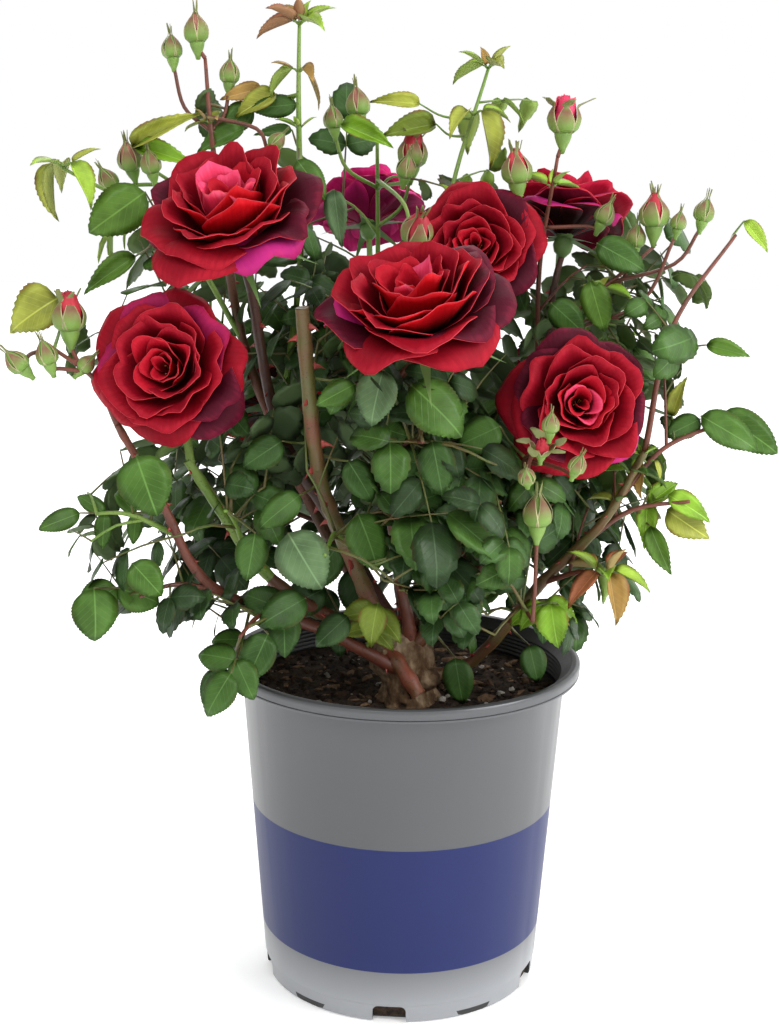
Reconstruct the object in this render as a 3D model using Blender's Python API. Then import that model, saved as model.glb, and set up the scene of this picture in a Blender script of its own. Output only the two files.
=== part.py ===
"""A rose bush in its nursery pot: pot, potting mix, rootstock, canes, blooms and masses of foliage.

Metres, +Z up. The origin is the centre of the pot's flat underside, and -Y is the front of the bush.
"""

import math
import random

import bmesh
import bpy
from mathutils import Matrix, Vector
from mathutils.bvhtree import BVHTree

# Pot: a thin moulded nursery pot, turned about +Z.
POT_HEIGHT = 0.209
POT_RIM_RADIUS = 0.1125
POT_RIM_HEIGHT = 0.0085
POT_MOUTH_RADIUS = 0.1068
POT_WALL_TOP_RADIUS = 0.1029
POT_BASE_RADIUS = 0.0880
POT_WALL = 0.0022
POT_FLOOR = 0.0030
WALL_TOP = POT_HEIGHT - POT_RIM_HEIGHT
WALL_SLOPE = (POT_WALL_TOP_RADIUS - POT_BASE_RADIUS) / WALL_TOP
RIM_ROUND = 0.0014
RIM_DRAFT = 0.0004
MOUTH_FLARE_HEIGHT = 0.0040
POT_SEGMENTS = 45
FOOT_STEP_HEIGHT = 0.0110
FOOT_STEP_DEPTH = 0.0006
NOTCH_COUNT = 5
NOTCH_WIDTH = 0.0205
NOTCH_HEIGHT = 0.0105
NOTCH_DEPTH = 0.0070
NOTCH_CORNER = 0.0035
NOTCH_CUTTER_REACH = 0.0200
NOTCH_FIRST_AZIMUTH = math.radians(-94.5)

# Potting mix and rootstock.
SOIL_DEPTH_BELOW_RIM = 0.0205
SOIL_TOP = POT_HEIGHT - SOIL_DEPTH_BELOW_RIM
TRUNK_X, TRUNK_Y = 0.003, -0.033
TRUNK_HEIGHT = 0.045
TRUNK_RADIUS = 0.0150
TRUNK_FLARE = 0.0215
TRUNK_LEAN = Vector((-0.006, 0.002, 0.0))
TRUNK_SIDES, TRUNK_LEVELS = 11, 7
TRUNK_SWELL = 0.16
TRUNK_FLARE_SHARE = 1 / 3.2
TRUNK_TOP_SHARE = 0.72
# Each set of knobs: how many go round, how far they turn from foot to top in radians, how far they stand out.
TRUNK_KNOBS = [(3, 4, 0.09), (5, -7, 0.05)]

# What touches in the real plant keeps this gap between solids.
CLEARANCE = 0.0003
CUT_MARGIN = 0.0004
LEAF_MARGIN = 0.0010
SMOOTH_ANGLE = math.radians(35)

# Leaflets: shares of a leaflet's length, except how far a leaflet's root sinks into its stalk.
LEAFLET_WIDTH = 0.76
LEAFLET_THICKNESS = 0.042
LEAFLET_BROADEST = 0.46
LEAFLET_SIDE_DROP = 0.05
LEAFLET_TIP_DROP = 0.12
LEAFLET_ROOT_DRAWN_IN = 0.16
ROOT_SUNK = 0.0012

# Compound leaves: the stalk below the first pair and between pairs over a leaflet's length, then how a side
# leaflet compares with the end one, how far forward it points and how far all of them droop.
STALK_BELOW_PAIR = 0.65
STALK_BETWEEN_PAIRS = 0.80
STALK_PAST_PAIR = 0.50
SIDE_LEAFLET_SIZE = 0.92
SIDE_LEAFLET_FORWARD = 0.55
DROOP = 0.45
FIVE_LEAFLET_SHARE = 0.20

# How leaves stand on a stem: turned by the golden angle, pointing on along the stem and up, from this share
# of the stem to its end. One that doesn't fit is turned by a step and tried again.
GOLDEN_ANGLE = math.radians(137.5)
TURN_JITTER = 0.5
TURN_STEP = math.radians(47)
SPRAY_TRIES = 14
LEAF_START = 0.30
LEAF_END, LEAF_END_BELOW_BUDS = 0.98, 0.80
LEAF_FORWARD = 0.45
LEAF_LIFT = 0.25

TWIG_SIDES = 3
CANE_SIDES = 6
CROWN_REACH_X = 0.222
CROWN_REACH_Y = 0.190
CROWN_FLOOR = 0.202

# Each cane: foot radius, tip radius and the places that it passes, from the rootstock to its tip.
CANES = {
    "cane_front_cut": (0.0050, 0.0040, [(-0.006, -0.040, 0.222), (-0.036, -0.052, 0.292),
                                        (-0.052, -0.072, 0.345), (-0.060, -0.088, 0.436)]),
    "cane_left": (0.0050, 0.0028, [(-0.004, -0.031, 0.226), (-0.045, -0.030, 0.241),
                                   (-0.085, -0.050, 0.275), (-0.128, -0.066, 0.345)]),
    "cane_left_low": (0.0040, 0.0022, [(-0.004, -0.046, 0.213), (-0.050, -0.057, 0.241),
                                       (-0.095, -0.064, 0.258), (-0.121, -0.080, 0.281),
                                       (-0.141, -0.088, 0.326), (-0.164, -0.090, 0.369)]),
    "cane_right": (0.0042, 0.0022, [(0.004, -0.033, 0.203), (0.043, -0.021, 0.211), (0.084, -0.040, 0.268),
                                    (0.117, -0.058, 0.310), (0.139, -0.060, 0.352)]),
    "cane_top_left": (0.0044, 0.0028, [(-0.003, -0.027, 0.230), (-0.045, -0.020, 0.300),
                                       (-0.077, -0.034, 0.360), (-0.092, -0.050, 0.446)]),
    "cane_right_inner": (0.0042, 0.0026, [(0.006, -0.038, 0.224), (0.046, -0.048, 0.280),
                                          (0.092, -0.060, 0.352)]),
    "cane_centre": (0.0040, 0.0026, [(0.004, -0.038, 0.230), (-0.008, -0.056, 0.310),
                                     (-0.008, -0.084, 0.398)]),
    "cane_back_centre": (0.0040, 0.0024, [(0.005, -0.026, 0.228), (0.018, 0.000, 0.330),
                                          (0.028, 0.022, 0.430)]),
    "cane_middle_right": (0.0042, 0.0024, [(0.008, -0.031, 0.224), (0.050, -0.008, 0.300),
                                           (0.086, 0.026, 0.390), (0.092, 0.038, 0.440)]),
    "cane_upper_left": (0.0040, 0.0024, [(-0.004, -0.022, 0.220), (-0.058, 0.010, 0.300),
                                         (-0.100, 0.010, 0.400), (-0.114, 0.002, 0.490)]),
    "cane_back": (0.0040, 0.0024, [(0.001, -0.020, 0.226), (-0.010, 0.035, 0.310),
                                   (-0.024, 0.096, 0.436)]),
    "cane_back_left": (0.0038, 0.0026, [(-0.003, -0.018, 0.214), (-0.050, 0.045, 0.280),
                                        (-0.080, 0.086, 0.334)]),
    "cane_back_right": (0.0038, 0.0026, [(0.006, -0.018, 0.214), (0.052, 0.034, 0.270),
                                         (0.096, 0.086, 0.342)]),
}
TALL_SHOOT = ("cane_tall", 0.0022, 0.0015, "cane_top_left", 0.62,
              [(-0.066, -0.006, 0.448), (-0.066, 0.000, 0.505)])

# Each bloom: the cane that it ends, its centre, the way it faces, and its radius.
BLOOMS = {
    "bloom_top_left": ("cane_top_left", (-0.100, -0.080, 0.487), (-0.12, -0.52, 0.84), 0.051),
    "bloom_left": ("cane_left", (-0.134, -0.100, 0.403), (-0.22, -0.93, 0.26), 0.044),
    "bloom_centre": ("cane_centre", (0.003, -0.130, 0.441), (-0.16, -0.48, 0.86), 0.051),
    "bloom_middle": ("cane_back_centre", (0.040, -0.010, 0.467), (-0.12, -0.95, 0.28), 0.040),
    "bloom_back_right": ("cane_middle_right", (0.100, 0.050, 0.485), (0.10, 0.30, 0.95), 0.042),
    "bloom_right": ("cane_right_inner", (0.097, -0.082, 0.383), (0.05, -0.96, 0.26), 0.042),
    "bloom_back": ("cane_back", (-0.028, 0.120, 0.486), (-0.10, 0.55, 0.83), 0.038),
    "bloom_rear_left": ("cane_back_left", (-0.100, 0.122, 0.360), (-0.45, 0.75, 0.48), 0.045),
    "bloom_rear_right": ("cane_back_right", (0.116, 0.122, 0.366), (0.42, 0.78, 0.46), 0.045),
}
BLOOM_SEGMENTS = 13
# From the calyx round the outer petals to the heart: radius and height over the bloom's radius, then lobes.
BLOOM_PROFILE = [(0.16, -0.44, 0), (0.62, -0.22, 6), (1.00, 0.02, 6), (0.72, 0.02, 6), (0.80, 0.20, 5),
                 (0.50, 0.14, 5), (0.53, 0.32, 4), (0.26, 0.25, 4), (0.22, 0.38, 3)]
LOBE_REACH = 0.055
LOBE_LIFT = 0.060
# Each bloom's stem bends by a share of its reach, from the cane's tip to this depth below the bloom's centre.
BLOOM_STEM_TIP_RADIUS = 0.0022
BLOOM_STEM_BEND = 0.12
CALYX_DEPTH = 0.40

# Each mass of foliage: the cane that it grows on and where along it, the tip of its stem, how many compound
# leaves it carries, its leaflets' length, and where its flower buds stand.
MASSES = {
    "foliage_crown_tip": ("cane_tall", 1.0, (-0.066, 0.000, 0.604), 3, 0.026, []),
    "foliage_crown_left": ("cane_upper_left", 1.0, (-0.122, 0.000, 0.575), 3, 0.036,
                           [(-0.127, 0.000, 0.590), (-0.142, 0.004, 0.580), (-0.108, 0.004, 0.566)]),
    "foliage_left_shoot": ("cane_upper_left", 0.72, (-0.205, -0.030, 0.512), 3, 0.034, []),
    "foliage_left_upper": ("cane_upper_left", 0.88, (-0.160, 0.020, 0.512), 3, 0.038,
                           [(-0.166, 0.020, 0.520), (-0.180, 0.010, 0.508), (-0.152, 0.026, 0.524)]),
    "foliage_left_buds": ("cane_left_low", 1.0, (-0.198, -0.092, 0.412), 3, 0.042,
                          [(-0.216, -0.098, 0.405), (-0.202, -0.088, 0.400), (-0.190, -0.088, 0.428)]),
    "foliage_left_spray": ("cane_left_low", 0.70, (-0.196, -0.076, 0.312), 3, 0.038, []),
    "foliage_left_low": ("cane_left_low", 0.52, (-0.160, -0.102, 0.268), 3, 0.040, []),
    "foliage_front_left_low": ("cane_left_low", 0.34, (-0.096, -0.116, 0.250), 3, 0.040, []),
    "foliage_front_left": ("cane_left", 0.66, (-0.108, -0.118, 0.326), 4, 0.043, []),
    "foliage_front_middle_left": ("cane_front_cut", 0.36, (-0.046, -0.116, 0.300), 4, 0.044, []),
    "foliage_front_centre": ("cane_centre", 0.66, (0.008, -0.118, 0.366), 4, 0.043, []),
    "foliage_front_low": ("cane_centre", 0.20, (-0.004, -0.104, 0.276), 3, 0.040, []),
    "foliage_front_right_low": ("cane_right", 0.36, (0.072, -0.108, 0.262), 4, 0.040, []),
    "foliage_right_low": ("cane_right", 0.52, (0.134, -0.086, 0.276), 3, 0.038, []),
    "foliage_right_middle": ("cane_right", 0.68, (0.170, -0.056, 0.322), 4, 0.038, []),
    "foliage_right_far": ("cane_right", 0.84, (0.190, -0.044, 0.368), 2, 0.044, []),
    "foliage_right_arch": ("cane_right", 1.0, (0.194, -0.030, 0.480), 4, 0.030, []),
    "foliage_right_buds": ("cane_middle_right", 0.55, (0.149, 0.000, 0.468), 3, 0.036,
                           [(0.148, 0.000, 0.486), (0.162, -0.004, 0.482), (0.178, 0.000, 0.488),
                            (0.138, 0.004, 0.472)]),
    "foliage_middle_right": ("cane_right_inner", 0.55, (0.052, -0.108, 0.332), 3, 0.040, []),
    "foliage_bloom_buds": ("cane_right_inner", 0.80, (0.070, -0.124, 0.362), 1, 0.036,
                           [(0.076, -0.136, 0.378), (0.064, -0.134, 0.350), (0.090, -0.136, 0.357)]),
    "foliage_centre_top": ("cane_back_centre", 0.80, (0.049, 0.050, 0.575), 3, 0.036, []),
    "foliage_top_middle": ("cane_back", 0.80, (-0.020, 0.030, 0.530), 4, 0.038,
                           [(-0.032, 0.030, 0.548), (0.002, 0.036, 0.520), (-0.046, 0.034, 0.540)]),
    "foliage_top_right": ("cane_middle_right", 0.74, (0.088, -0.006, 0.520), 3, 0.034,
                          [(0.091, -0.006, 0.541), (0.064, -0.002, 0.512)]),
    "foliage_inner_left": ("cane_top_left", 0.60, (-0.045, -0.010, 0.420), 2, 0.038, []),
    "foliage_inner_right": ("cane_middle_right", 0.40, (0.090, -0.020, 0.345), 3, 0.038, []),
    "foliage_inner_low": ("cane_back_centre", 0.25, (0.030, 0.060, 0.290), 3, 0.040, []),
    "foliage_rear_left_low": ("cane_back_left", 0.60, (-0.138, 0.078, 0.280), 3, 0.042, []),
    "foliage_rear_left_high": ("cane_upper_left", 0.50, (-0.148, 0.090, 0.430), 4, 0.042, []),
    "foliage_rear_low": ("cane_back", 0.40, (-0.026, 0.140, 0.292), 3, 0.042, []),
    "foliage_rear_high": ("cane_back", 0.72, (0.036, 0.140, 0.430), 3, 0.042, []),
    "foliage_rear_right_low": ("cane_back_right", 0.60, (0.136, 0.078, 0.276), 3, 0.042, []),
    "foliage_rear_right_high": ("cane_middle_right", 0.66, (0.160, 0.090, 0.430), 4, 0.042, []),
}
STEM_SIDES = 4
STEM_BOWS = (0.12, 0.20, 0.28, 0.36)
STEM_BOW_TURNS = 8
STEM_FOOT_RADIUS = 0.0019
STEM_TIP_RADIUS = 0.0010
STALK_RADIUS = 0.0009
BUD_LENGTH = 0.021
BUD_RADIUS = 0.0062
BUD_SEGMENTS = 5
BUD_PROFILE = [(0.0, 0.0), (0.55, 0.06), (1.0, 0.45), (0.0, 1.0)]
BUD_STALK_FROM, BUD_STALK_TO = 0.55, 0.90
BUD_STALK_RISE = 0.10
BUD_SEAT = 0.45


def clear_scene():
    for old in list(bpy.data.objects):
        bpy.data.objects.remove(old)


def material(name, colour, roughness, metallic=0.0):
    made = bpy.data.materials.new(name)
    made.use_nodes = True
    shader = made.node_tree.nodes["Principled BSDF"]
    shader.inputs["Base Color"].default_value = (*colour, 1.0)
    shader.inputs["Roughness"].default_value = roughness
    shader.inputs["Metallic"].default_value = metallic
    return made


def node(name, bm, finish, smooth=False):
    """Makes a scene object of a mesh under construction, with its faces pointing out."""
    bmesh.ops.recalc_face_normals(bm, faces=bm.faces)
    if bm.calc_volume(signed=True) < 0:
        bmesh.ops.reverse_faces(bm, faces=bm.faces)
    mesh = bpy.data.meshes.new(name)
    bm.to_mesh(mesh)
    bm.free()
    made = bpy.data.objects.new(name, mesh)
    bpy.context.scene.collection.objects.link(made)
    mesh.materials.append(finish)
    if smooth:
        mesh.shade_smooth()
        mesh.set_sharp_from_angle(angle=SMOOTH_ANGLE)
    return made


def boolean(target, operation, tools):
    """Joins the tools to the target, or cuts them from it, and removes them."""
    group = bpy.data.collections.new("tools")
    bpy.context.scene.collection.children.link(group)
    for tool in tools:
        for home in list(tool.users_collection):
            home.objects.unlink(tool)
        group.objects.link(tool)
    modifier = target.modifiers.new(operation, "BOOLEAN")
    modifier.operation = operation
    modifier.operand_type = "COLLECTION"
    modifier.collection = group
    modifier.solver = "EXACT"
    with bpy.context.temp_override(object=target):
        bpy.ops.object.modifier_apply(modifier=modifier.name)
    for tool in tools:
        bpy.data.objects.remove(tool)
    bpy.data.collections.remove(group)


def keep_largest_piece(target):
    """Drops the loose scraps that a cut or a union leaves, and keeps the one main body."""
    bm = bmesh.new()
    bm.from_mesh(target.data)
    unseen = set(bm.verts)
    pieces = []
    while unseen:
        piece, front = set(), [unseen.pop()]
        while front:
            vert = front.pop()
            piece.add(vert)
            for edge in vert.link_edges:
                other = edge.other_vert(vert)
                if other in unseen:
                    unseen.remove(other)
                    front.append(other)
        pieces.append(piece)
    pieces.sort(key=len)
    for scrap in pieces[:-1]:
        bmesh.ops.delete(bm, geom=list(scrap), context="VERTS")
    bm.to_mesh(target.data)
    bm.free()


def through(places, steps):
    """Points on a smooth curve through the given places: a Catmull-Rom spline, with its ends extended."""
    places = [Vector(place) for place in places]
    places = [2 * places[0] - places[1], *places, 2 * places[-1] - places[-2]]
    points = []
    for a, b, c, d in zip(places, places[1:], places[2:], places[3:]):
        for step in range(steps):
            t = step / steps
            points.append(0.5 * (2 * b + (c - a) * t + (2 * a - 5 * b + 4 * c - d) * t ** 2
                                 + (3 * b - a - 3 * c + d) * t ** 3))
    points.append(places[-2])
    return points


def point_along(path, share):
    """The point at this share of a path's length, and the path's direction there."""
    lengths = [(b - a).length for a, b in zip(path, path[1:])]
    left = share * sum(lengths)
    for a, b, length in zip(path, path[1:], lengths):
        if left <= length:
            return a.lerp(b, left / length), (b - a).normalized()
        left -= length
    return path[-1].copy(), (path[-1] - path[-2]).normalized()


def skin_rings(bm, rings):
    """Joins each ring of points to the next with triangles, so that a grown copy has the same creases."""
    for low, high in zip(rings, rings[1:]):
        for side in range(len(low)):
            after = (side + 1) % len(low)
            bm.faces.new((low[side], low[after], high[after]))
            bm.faces.new((low[side], high[after], high[side]))


def sweep(path, radii, sides):
    """A closed tapering tube: a ring of points at each place of the path, with flat ends."""
    bm = bmesh.new()
    across = (path[1] - path[0]).orthogonal().normalized()
    rings = []
    for index, place in enumerate(path):
        along = (path[min(index + 1, len(path) - 1)] - path[max(index - 1, 0)]).normalized()
        across = (across - along * across.dot(along)).normalized()
        up = along.cross(across)
        angles = [2 * math.pi * side / sides for side in range(sides)]
        rings.append([bm.verts.new(place + (across * math.cos(angle) + up * math.sin(angle)) * radii[index])
                      for angle in angles])
    skin_rings(bm, rings)
    bm.faces.new(rings[0][::-1])
    bm.faces.new(rings[-1])
    return bm


def tapered(foot_radius, tip_radius, count):
    return [foot_radius + (tip_radius - foot_radius) * index / (count - 1) for index in range(count)]


def turned(profile, segments):
    """A closed body turned about +Z from (radius, height) points, whose ends lie on the axis."""
    bm = bmesh.new()
    verts = [bm.verts.new((radius, 0.0, height)) for radius, height in profile]
    edges = [bm.edges.new(pair) for pair in zip(verts, verts[1:])]
    bmesh.ops.spin(bm, geom=verts + edges, cent=(0, 0, 0), axis=(0, 0, 1), angle=2 * math.pi,
                   steps=segments, use_merge=True)
    bmesh.ops.remove_doubles(bm, verts=bm.verts, dist=1e-6)
    return bm


def wall_radius(height):
    """The outer radius of the pot's tapering wall at this height."""
    return POT_BASE_RADIUS + WALL_SLOPE * height


def make_pot(finish):
    """The pot's shell, with a rolled rim and a drain notch cut at each fifth of the foot."""
    profile = [
        (0.0, 0.0),
        (wall_radius(0.0) - FOOT_STEP_DEPTH, 0.0),
        (wall_radius(FOOT_STEP_HEIGHT) - FOOT_STEP_DEPTH, FOOT_STEP_HEIGHT),
        (wall_radius(FOOT_STEP_HEIGHT), FOOT_STEP_HEIGHT + FOOT_STEP_DEPTH),
        (POT_WALL_TOP_RADIUS, WALL_TOP),
        (POT_RIM_RADIUS - RIM_DRAFT, WALL_TOP),
        (POT_RIM_RADIUS, POT_HEIGHT - RIM_ROUND),
        (POT_RIM_RADIUS - RIM_ROUND, POT_HEIGHT),
        (POT_MOUTH_RADIUS, POT_HEIGHT),
        (POT_WALL_TOP_RADIUS - POT_WALL, WALL_TOP - MOUTH_FLARE_HEIGHT),
        (wall_radius(POT_FLOOR) - POT_WALL, POT_FLOOR),
        (0.0, POT_FLOOR),
    ]
    pot = node("pot", turned(profile, POT_SEGMENTS), finish, smooth=True)
    notches = []
    for index in range(NOTCH_COUNT):
        azimuth = NOTCH_FIRST_AZIMUTH + 2 * math.pi * index / NOTCH_COUNT
        bm = bmesh.new()
        bmesh.ops.create_cube(bm, size=1.0)
        length = NOTCH_DEPTH + NOTCH_CUTTER_REACH
        bmesh.ops.scale(bm, vec=(length, NOTCH_WIDTH, 2 * NOTCH_HEIGHT), verts=bm.verts)
        upper = [edge for edge in bm.edges if all(vert.co.z > 0 for vert in edge.verts)
                 and abs(edge.verts[0].co.x - edge.verts[1].co.x) > 1e-6]
        bmesh.ops.bevel(bm, geom=upper, offset=NOTCH_CORNER, segments=2, profile=0.5, affect="EDGES")
        middle = POT_BASE_RADIUS - NOTCH_DEPTH + length / 2
        bmesh.ops.transform(bm, verts=bm.verts, matrix=Matrix.Rotation(azimuth, 4, "Z")
                            @ Matrix.Translation((middle, 0.0, 0.0)))
        notches.append(node("notch", bm, finish))
    boolean(pot, "DIFFERENCE", notches)
    return pot


def make_soil(finish):
    """The potting mix that fills the pot up to a little under its rim."""
    inset = POT_WALL + 2 * CLEARANCE
    low = POT_FLOOR + CLEARANCE
    profile = [(0.0, low), (wall_radius(low) - inset, low), (wall_radius(SOIL_TOP) - inset, SOIL_TOP),
               (0.0, SOIL_TOP)]
    return node("potting_mix", turned(profile, POT_SEGMENTS), finish)


def trunk_mesh(grow=0.0):
    """The knobbly rootstock: a flared foot cut flat at the soil, a waist, and a swollen graft union."""
    bm = bmesh.new()
    rings = []
    for level in range(TRUNK_LEVELS):
        top = level == TRUNK_LEVELS - 1
        rise = level / (TRUNK_LEVELS - 1)
        radius = TRUNK_RADIUS * (1 + TRUNK_SWELL * math.sin(math.pi * (1.5 * rise - 0.35)))
        radius += (TRUNK_FLARE - TRUNK_RADIUS) * max(0.0, 1 - rise / TRUNK_FLARE_SHARE) ** 1.5
        radius *= TRUNK_TOP_SHARE if top else 1.0
        centre = Vector((TRUNK_X, TRUNK_Y, 0)) + TRUNK_LEAN * rise
        height = SOIL_TOP + CLEARANCE + TRUNK_HEIGHT * rise + (grow if top else 0.0)
        ring = []
        for side in range(TRUNK_SIDES):
            angle = 2 * math.pi * side / TRUNK_SIDES
            knob = 1 + sum(reach * math.sin(count * angle + twist * rise)
                           for count, twist, reach in TRUNK_KNOBS)
            ring.append(bm.verts.new(centre + Vector((math.cos(angle), math.sin(angle), 0))
                                     * (radius * knob + grow) + Vector((0, 0, height))))
        rings.append(ring)
    skin_rings(bm, rings)
    bm.faces.new(rings[0][::-1])
    bm.faces.new(rings[-1])
    return bm


class Limb:
    """A cane's path and radii, kept so that what grows on it can be seated on its surface."""

    def __init__(self, path, foot_radius, tip_radius):
        self.path = path
        self.radii = tapered(foot_radius, tip_radius, len(path))

    def mesh(self, grow=0.0):
        path = list(self.path)
        if grow:
            path[-1] = path[-1] + (path[-1] - path[-2]).normalized() * grow
        return sweep(path, [radius + grow for radius in self.radii], CANE_SIDES)

    def seat(self, share):
        return point_along(self.path, share)


def make_canes(finish, trunk_finish):
    """Cuts each cane clear of the rootstock and of the canes before it, where their feet crowd together."""
    limbs = {}
    for name, (foot_radius, tip_radius, places) in CANES.items():
        limbs[name] = Limb(through(places, 3), foot_radius, tip_radius)
    name, foot_radius, tip_radius, parent, share, places = TALL_SHOOT
    foot, _ = limbs[parent].seat(share)
    limbs[name] = Limb(through([foot, *places], 3), foot_radius, tip_radius)
    made = []
    for name, limb in limbs.items():
        cane = node(name, limb.mesh(), finish, smooth=True)
        cutters = [node("cutter", trunk_mesh(CUT_MARGIN), trunk_finish)]
        cutters += [node("cutter", limbs[other].mesh(CUT_MARGIN), finish) for other in made]
        boolean(cane, "DIFFERENCE", cutters)
        keep_largest_piece(cane)
        made.append(name)
    return limbs


def bloom_mesh(radius):
    """An open bloom that faces +Z: rings of lobed petals that step up and in, round a tight heart."""
    bm = bmesh.new()
    rings = []
    for reach, height, lobes in BLOOM_PROFILE:
        ring = []
        for segment in range(BLOOM_SEGMENTS):
            angle = 2 * math.pi * segment / BLOOM_SEGMENTS
            wave = math.sin(lobes * angle + 1.3 * lobes) if lobes else 0.0
            out = radius * reach * (1 + LOBE_REACH * wave)
            lift = radius * (height + LOBE_LIFT * reach * wave)
            ring.append(bm.verts.new((out * math.cos(angle), out * math.sin(angle), lift)))
        rings.append(ring)
    skin_rings(bm, rings)
    bm.faces.new(rings[0][::-1])
    heart = bm.verts.new((0, 0, radius * BLOOM_PROFILE[-1][1]))
    for segment in range(BLOOM_SEGMENTS):
        bm.faces.new((rings[-1][segment], rings[-1][(segment + 1) % BLOOM_SEGMENTS], heart))
    return bm


def facing(direction, place):
    """The matrix that turns +Z to a direction and moves the origin to a place."""
    return Matrix.Translation(place) @ Vector(direction).to_track_quat("Z", "Y").to_matrix().to_4x4()


def make_blooms(limbs, finish):
    """Each bloom's head is fused to its short stem, which starts at its cane's tip."""
    heads = []
    for name, (cane, centre, direction, radius) in BLOOMS.items():
        limb = limbs[cane]
        bm = bloom_mesh(radius)
        bmesh.ops.transform(bm, verts=bm.verts, matrix=facing(direction, centre))
        head = node(name, bm, finish, smooth=True)
        tip, along = limb.seat(1.0)
        way = Vector(direction).normalized()
        calyx = Vector(centre) - way * (CALYX_DEPTH * radius)
        reach = (calyx - tip).length
        bend = tip.lerp(calyx, 0.5) + (along - way) * (BLOOM_STEM_BEND * reach)
        path = through([tip - along * CUT_MARGIN, bend, calyx], 2)
        radii = tapered(limb.radii[-1], BLOOM_STEM_TIP_RADIUS, len(path))
        stem = node("stem", sweep(path, radii, CANE_SIDES), finish)
        boolean(head, "UNION", [stem])
        boolean(head, "DIFFERENCE", [node("cutter", limb.mesh(CUT_MARGIN), finish)])
        keep_largest_piece(head)
        heads.append(head)
    return heads


def leaflet(root, along, normal, length):
    """A pointed blade of eight faces, from its root to its tip."""
    along = along.normalized()
    side = along.cross(normal).normalized()
    normal = side.cross(along)
    half = length * LEAFLET_WIDTH / 2
    thick = length * LEAFLET_THICKNESS / 2
    middle = root + along * (LEAFLET_BROADEST * length)
    edge = middle - normal * (LEAFLET_SIDE_DROP * length)
    tip = root + along * length - normal * (LEAFLET_TIP_DROP * length)
    bm = bmesh.new()
    outline = [bm.verts.new(place) for place in (root, edge + side * half, tip, edge - side * half)]
    top = bm.verts.new(middle + normal * thick)
    bottom = bm.verts.new(middle - normal * thick)
    for first, second in zip(outline, outline[1:] + outline[:1]):
        bm.faces.new((first, second, top))
        bm.faces.new((second, first, bottom))
    return bm


def bud_mesh(radius, length):
    """A flower bud that stands along +Z from its foot: hip, waist and closed petals."""
    return turned([(radius * out, length * rise) for out, rise in BUD_PROFILE], BUD_SEGMENTS)


def tree_of(bm):
    """What tells whether a piece under construction would touch another."""
    bmesh.ops.triangulate(bm, faces=bm.faces[:])
    return BVHTree.FromBMesh(bm)


def box_of(bm):
    places = [vert.co for vert in bm.verts]
    low = [min(place[axis] for place in places) for axis in range(3)]
    high = [max(place[axis] for place in places) for axis in range(3)]
    return low, high


def holds(tree, place):
    """True where a closed body holds a place: a line from there crosses its skin an odd number of times."""
    way = Vector((0.0, 0.0, 1.0))
    crossings = 0
    hit = tree.ray_cast(place, way)[0]
    while hit is not None:
        crossings += 1
        hit = tree.ray_cast(hit + way * 1e-6, way)[0]
    return crossings % 2 == 1


class Space:
    """The room that is taken: solids already made, which a new twig or leaf keeps clear of."""

    def __init__(self):
        self.taken = []

    def add_bmesh(self, bm, name=""):
        copy = bm.copy()
        bmesh.ops.recalc_face_normals(copy, faces=copy.faces)
        self.taken.append((name, tree_of(copy), *box_of(copy)))
        copy.free()

    def add_object(self, made):
        bm = bmesh.new()
        bm.from_mesh(made.data)
        self.add_bmesh(bm, made.name)
        bm.free()

    def is_free(self, bm, but=None):
        """True where a piece, grown by a margin, meets nothing and is not swallowed by anything."""
        copy = bm.copy()
        bmesh.ops.recalc_face_normals(copy, faces=copy.faces)
        copy.normal_update()
        for vert in copy.verts:
            vert.co += vert.normal * LEAF_MARGIN
        low, high = box_of(copy)
        near = [tree for name, tree, least, most in self.taken if name != but
                and all(least[axis] < high[axis] and low[axis] < most[axis] for axis in range(3))]
        copy.verts.ensure_lookup_table()
        probe = copy.verts[0].co.copy()
        tree = tree_of(copy)
        copy.free()
        for other in near:
            if tree.overlap(other):
                return False
            if holds(other, probe):
                return False
        return True


def compound_leaf(foot, way, length, pairs):
    """Meshes of one compound leaf: its stalk, then opposite pairs of leaflets and one at the end."""
    flat = Vector((way.x, way.y, 0)).normalized() if way.xy.length > 1e-4 else Vector((1, 0, 0))
    side = flat.cross(Vector((0, 0, 1)))
    reach = length * (STALK_PAST_PAIR + STALK_BETWEEN_PAIRS * pairs)
    stalk = sweep([foot, foot + way * reach], [STALK_RADIUS, 0.8 * STALK_RADIUS], TWIG_SIDES)
    face = side.cross(way)
    blades = []
    for pair in range(pairs):
        root = foot + way * (length * (STALK_BELOW_PAIR + STALK_BETWEEN_PAIRS * pair))
        for hand in (-1, 1):
            out = way * SIDE_LEAFLET_FORWARD + side * hand - face * DROOP
            blades.append(leaflet(root, out, face, length * SIDE_LEAFLET_SIZE))
    blades.append(leaflet(foot + way * (reach - ROOT_SUNK), way - face * DROOP, face, length))
    return stalk, blades


def inside_crown(bm):
    """True where a piece stays within the bush's own reach, above the pot's rim."""
    return all(abs(vert.co.x) < CROWN_REACH_X and abs(vert.co.y) < CROWN_REACH_Y and vert.co.z > CROWN_FLOOR
               for vert in bm.verts)


def without_root(blade):
    """A copy of a leaflet whose root is drawn in, so that the stalk that carries it is not in its way."""
    copy = blade.copy()
    copy.verts.ensure_lookup_table()
    copy.verts[0].co = copy.verts[0].co.lerp(copy.verts[2].co, LEAFLET_ROOT_DRAWN_IN)
    return copy


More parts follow.
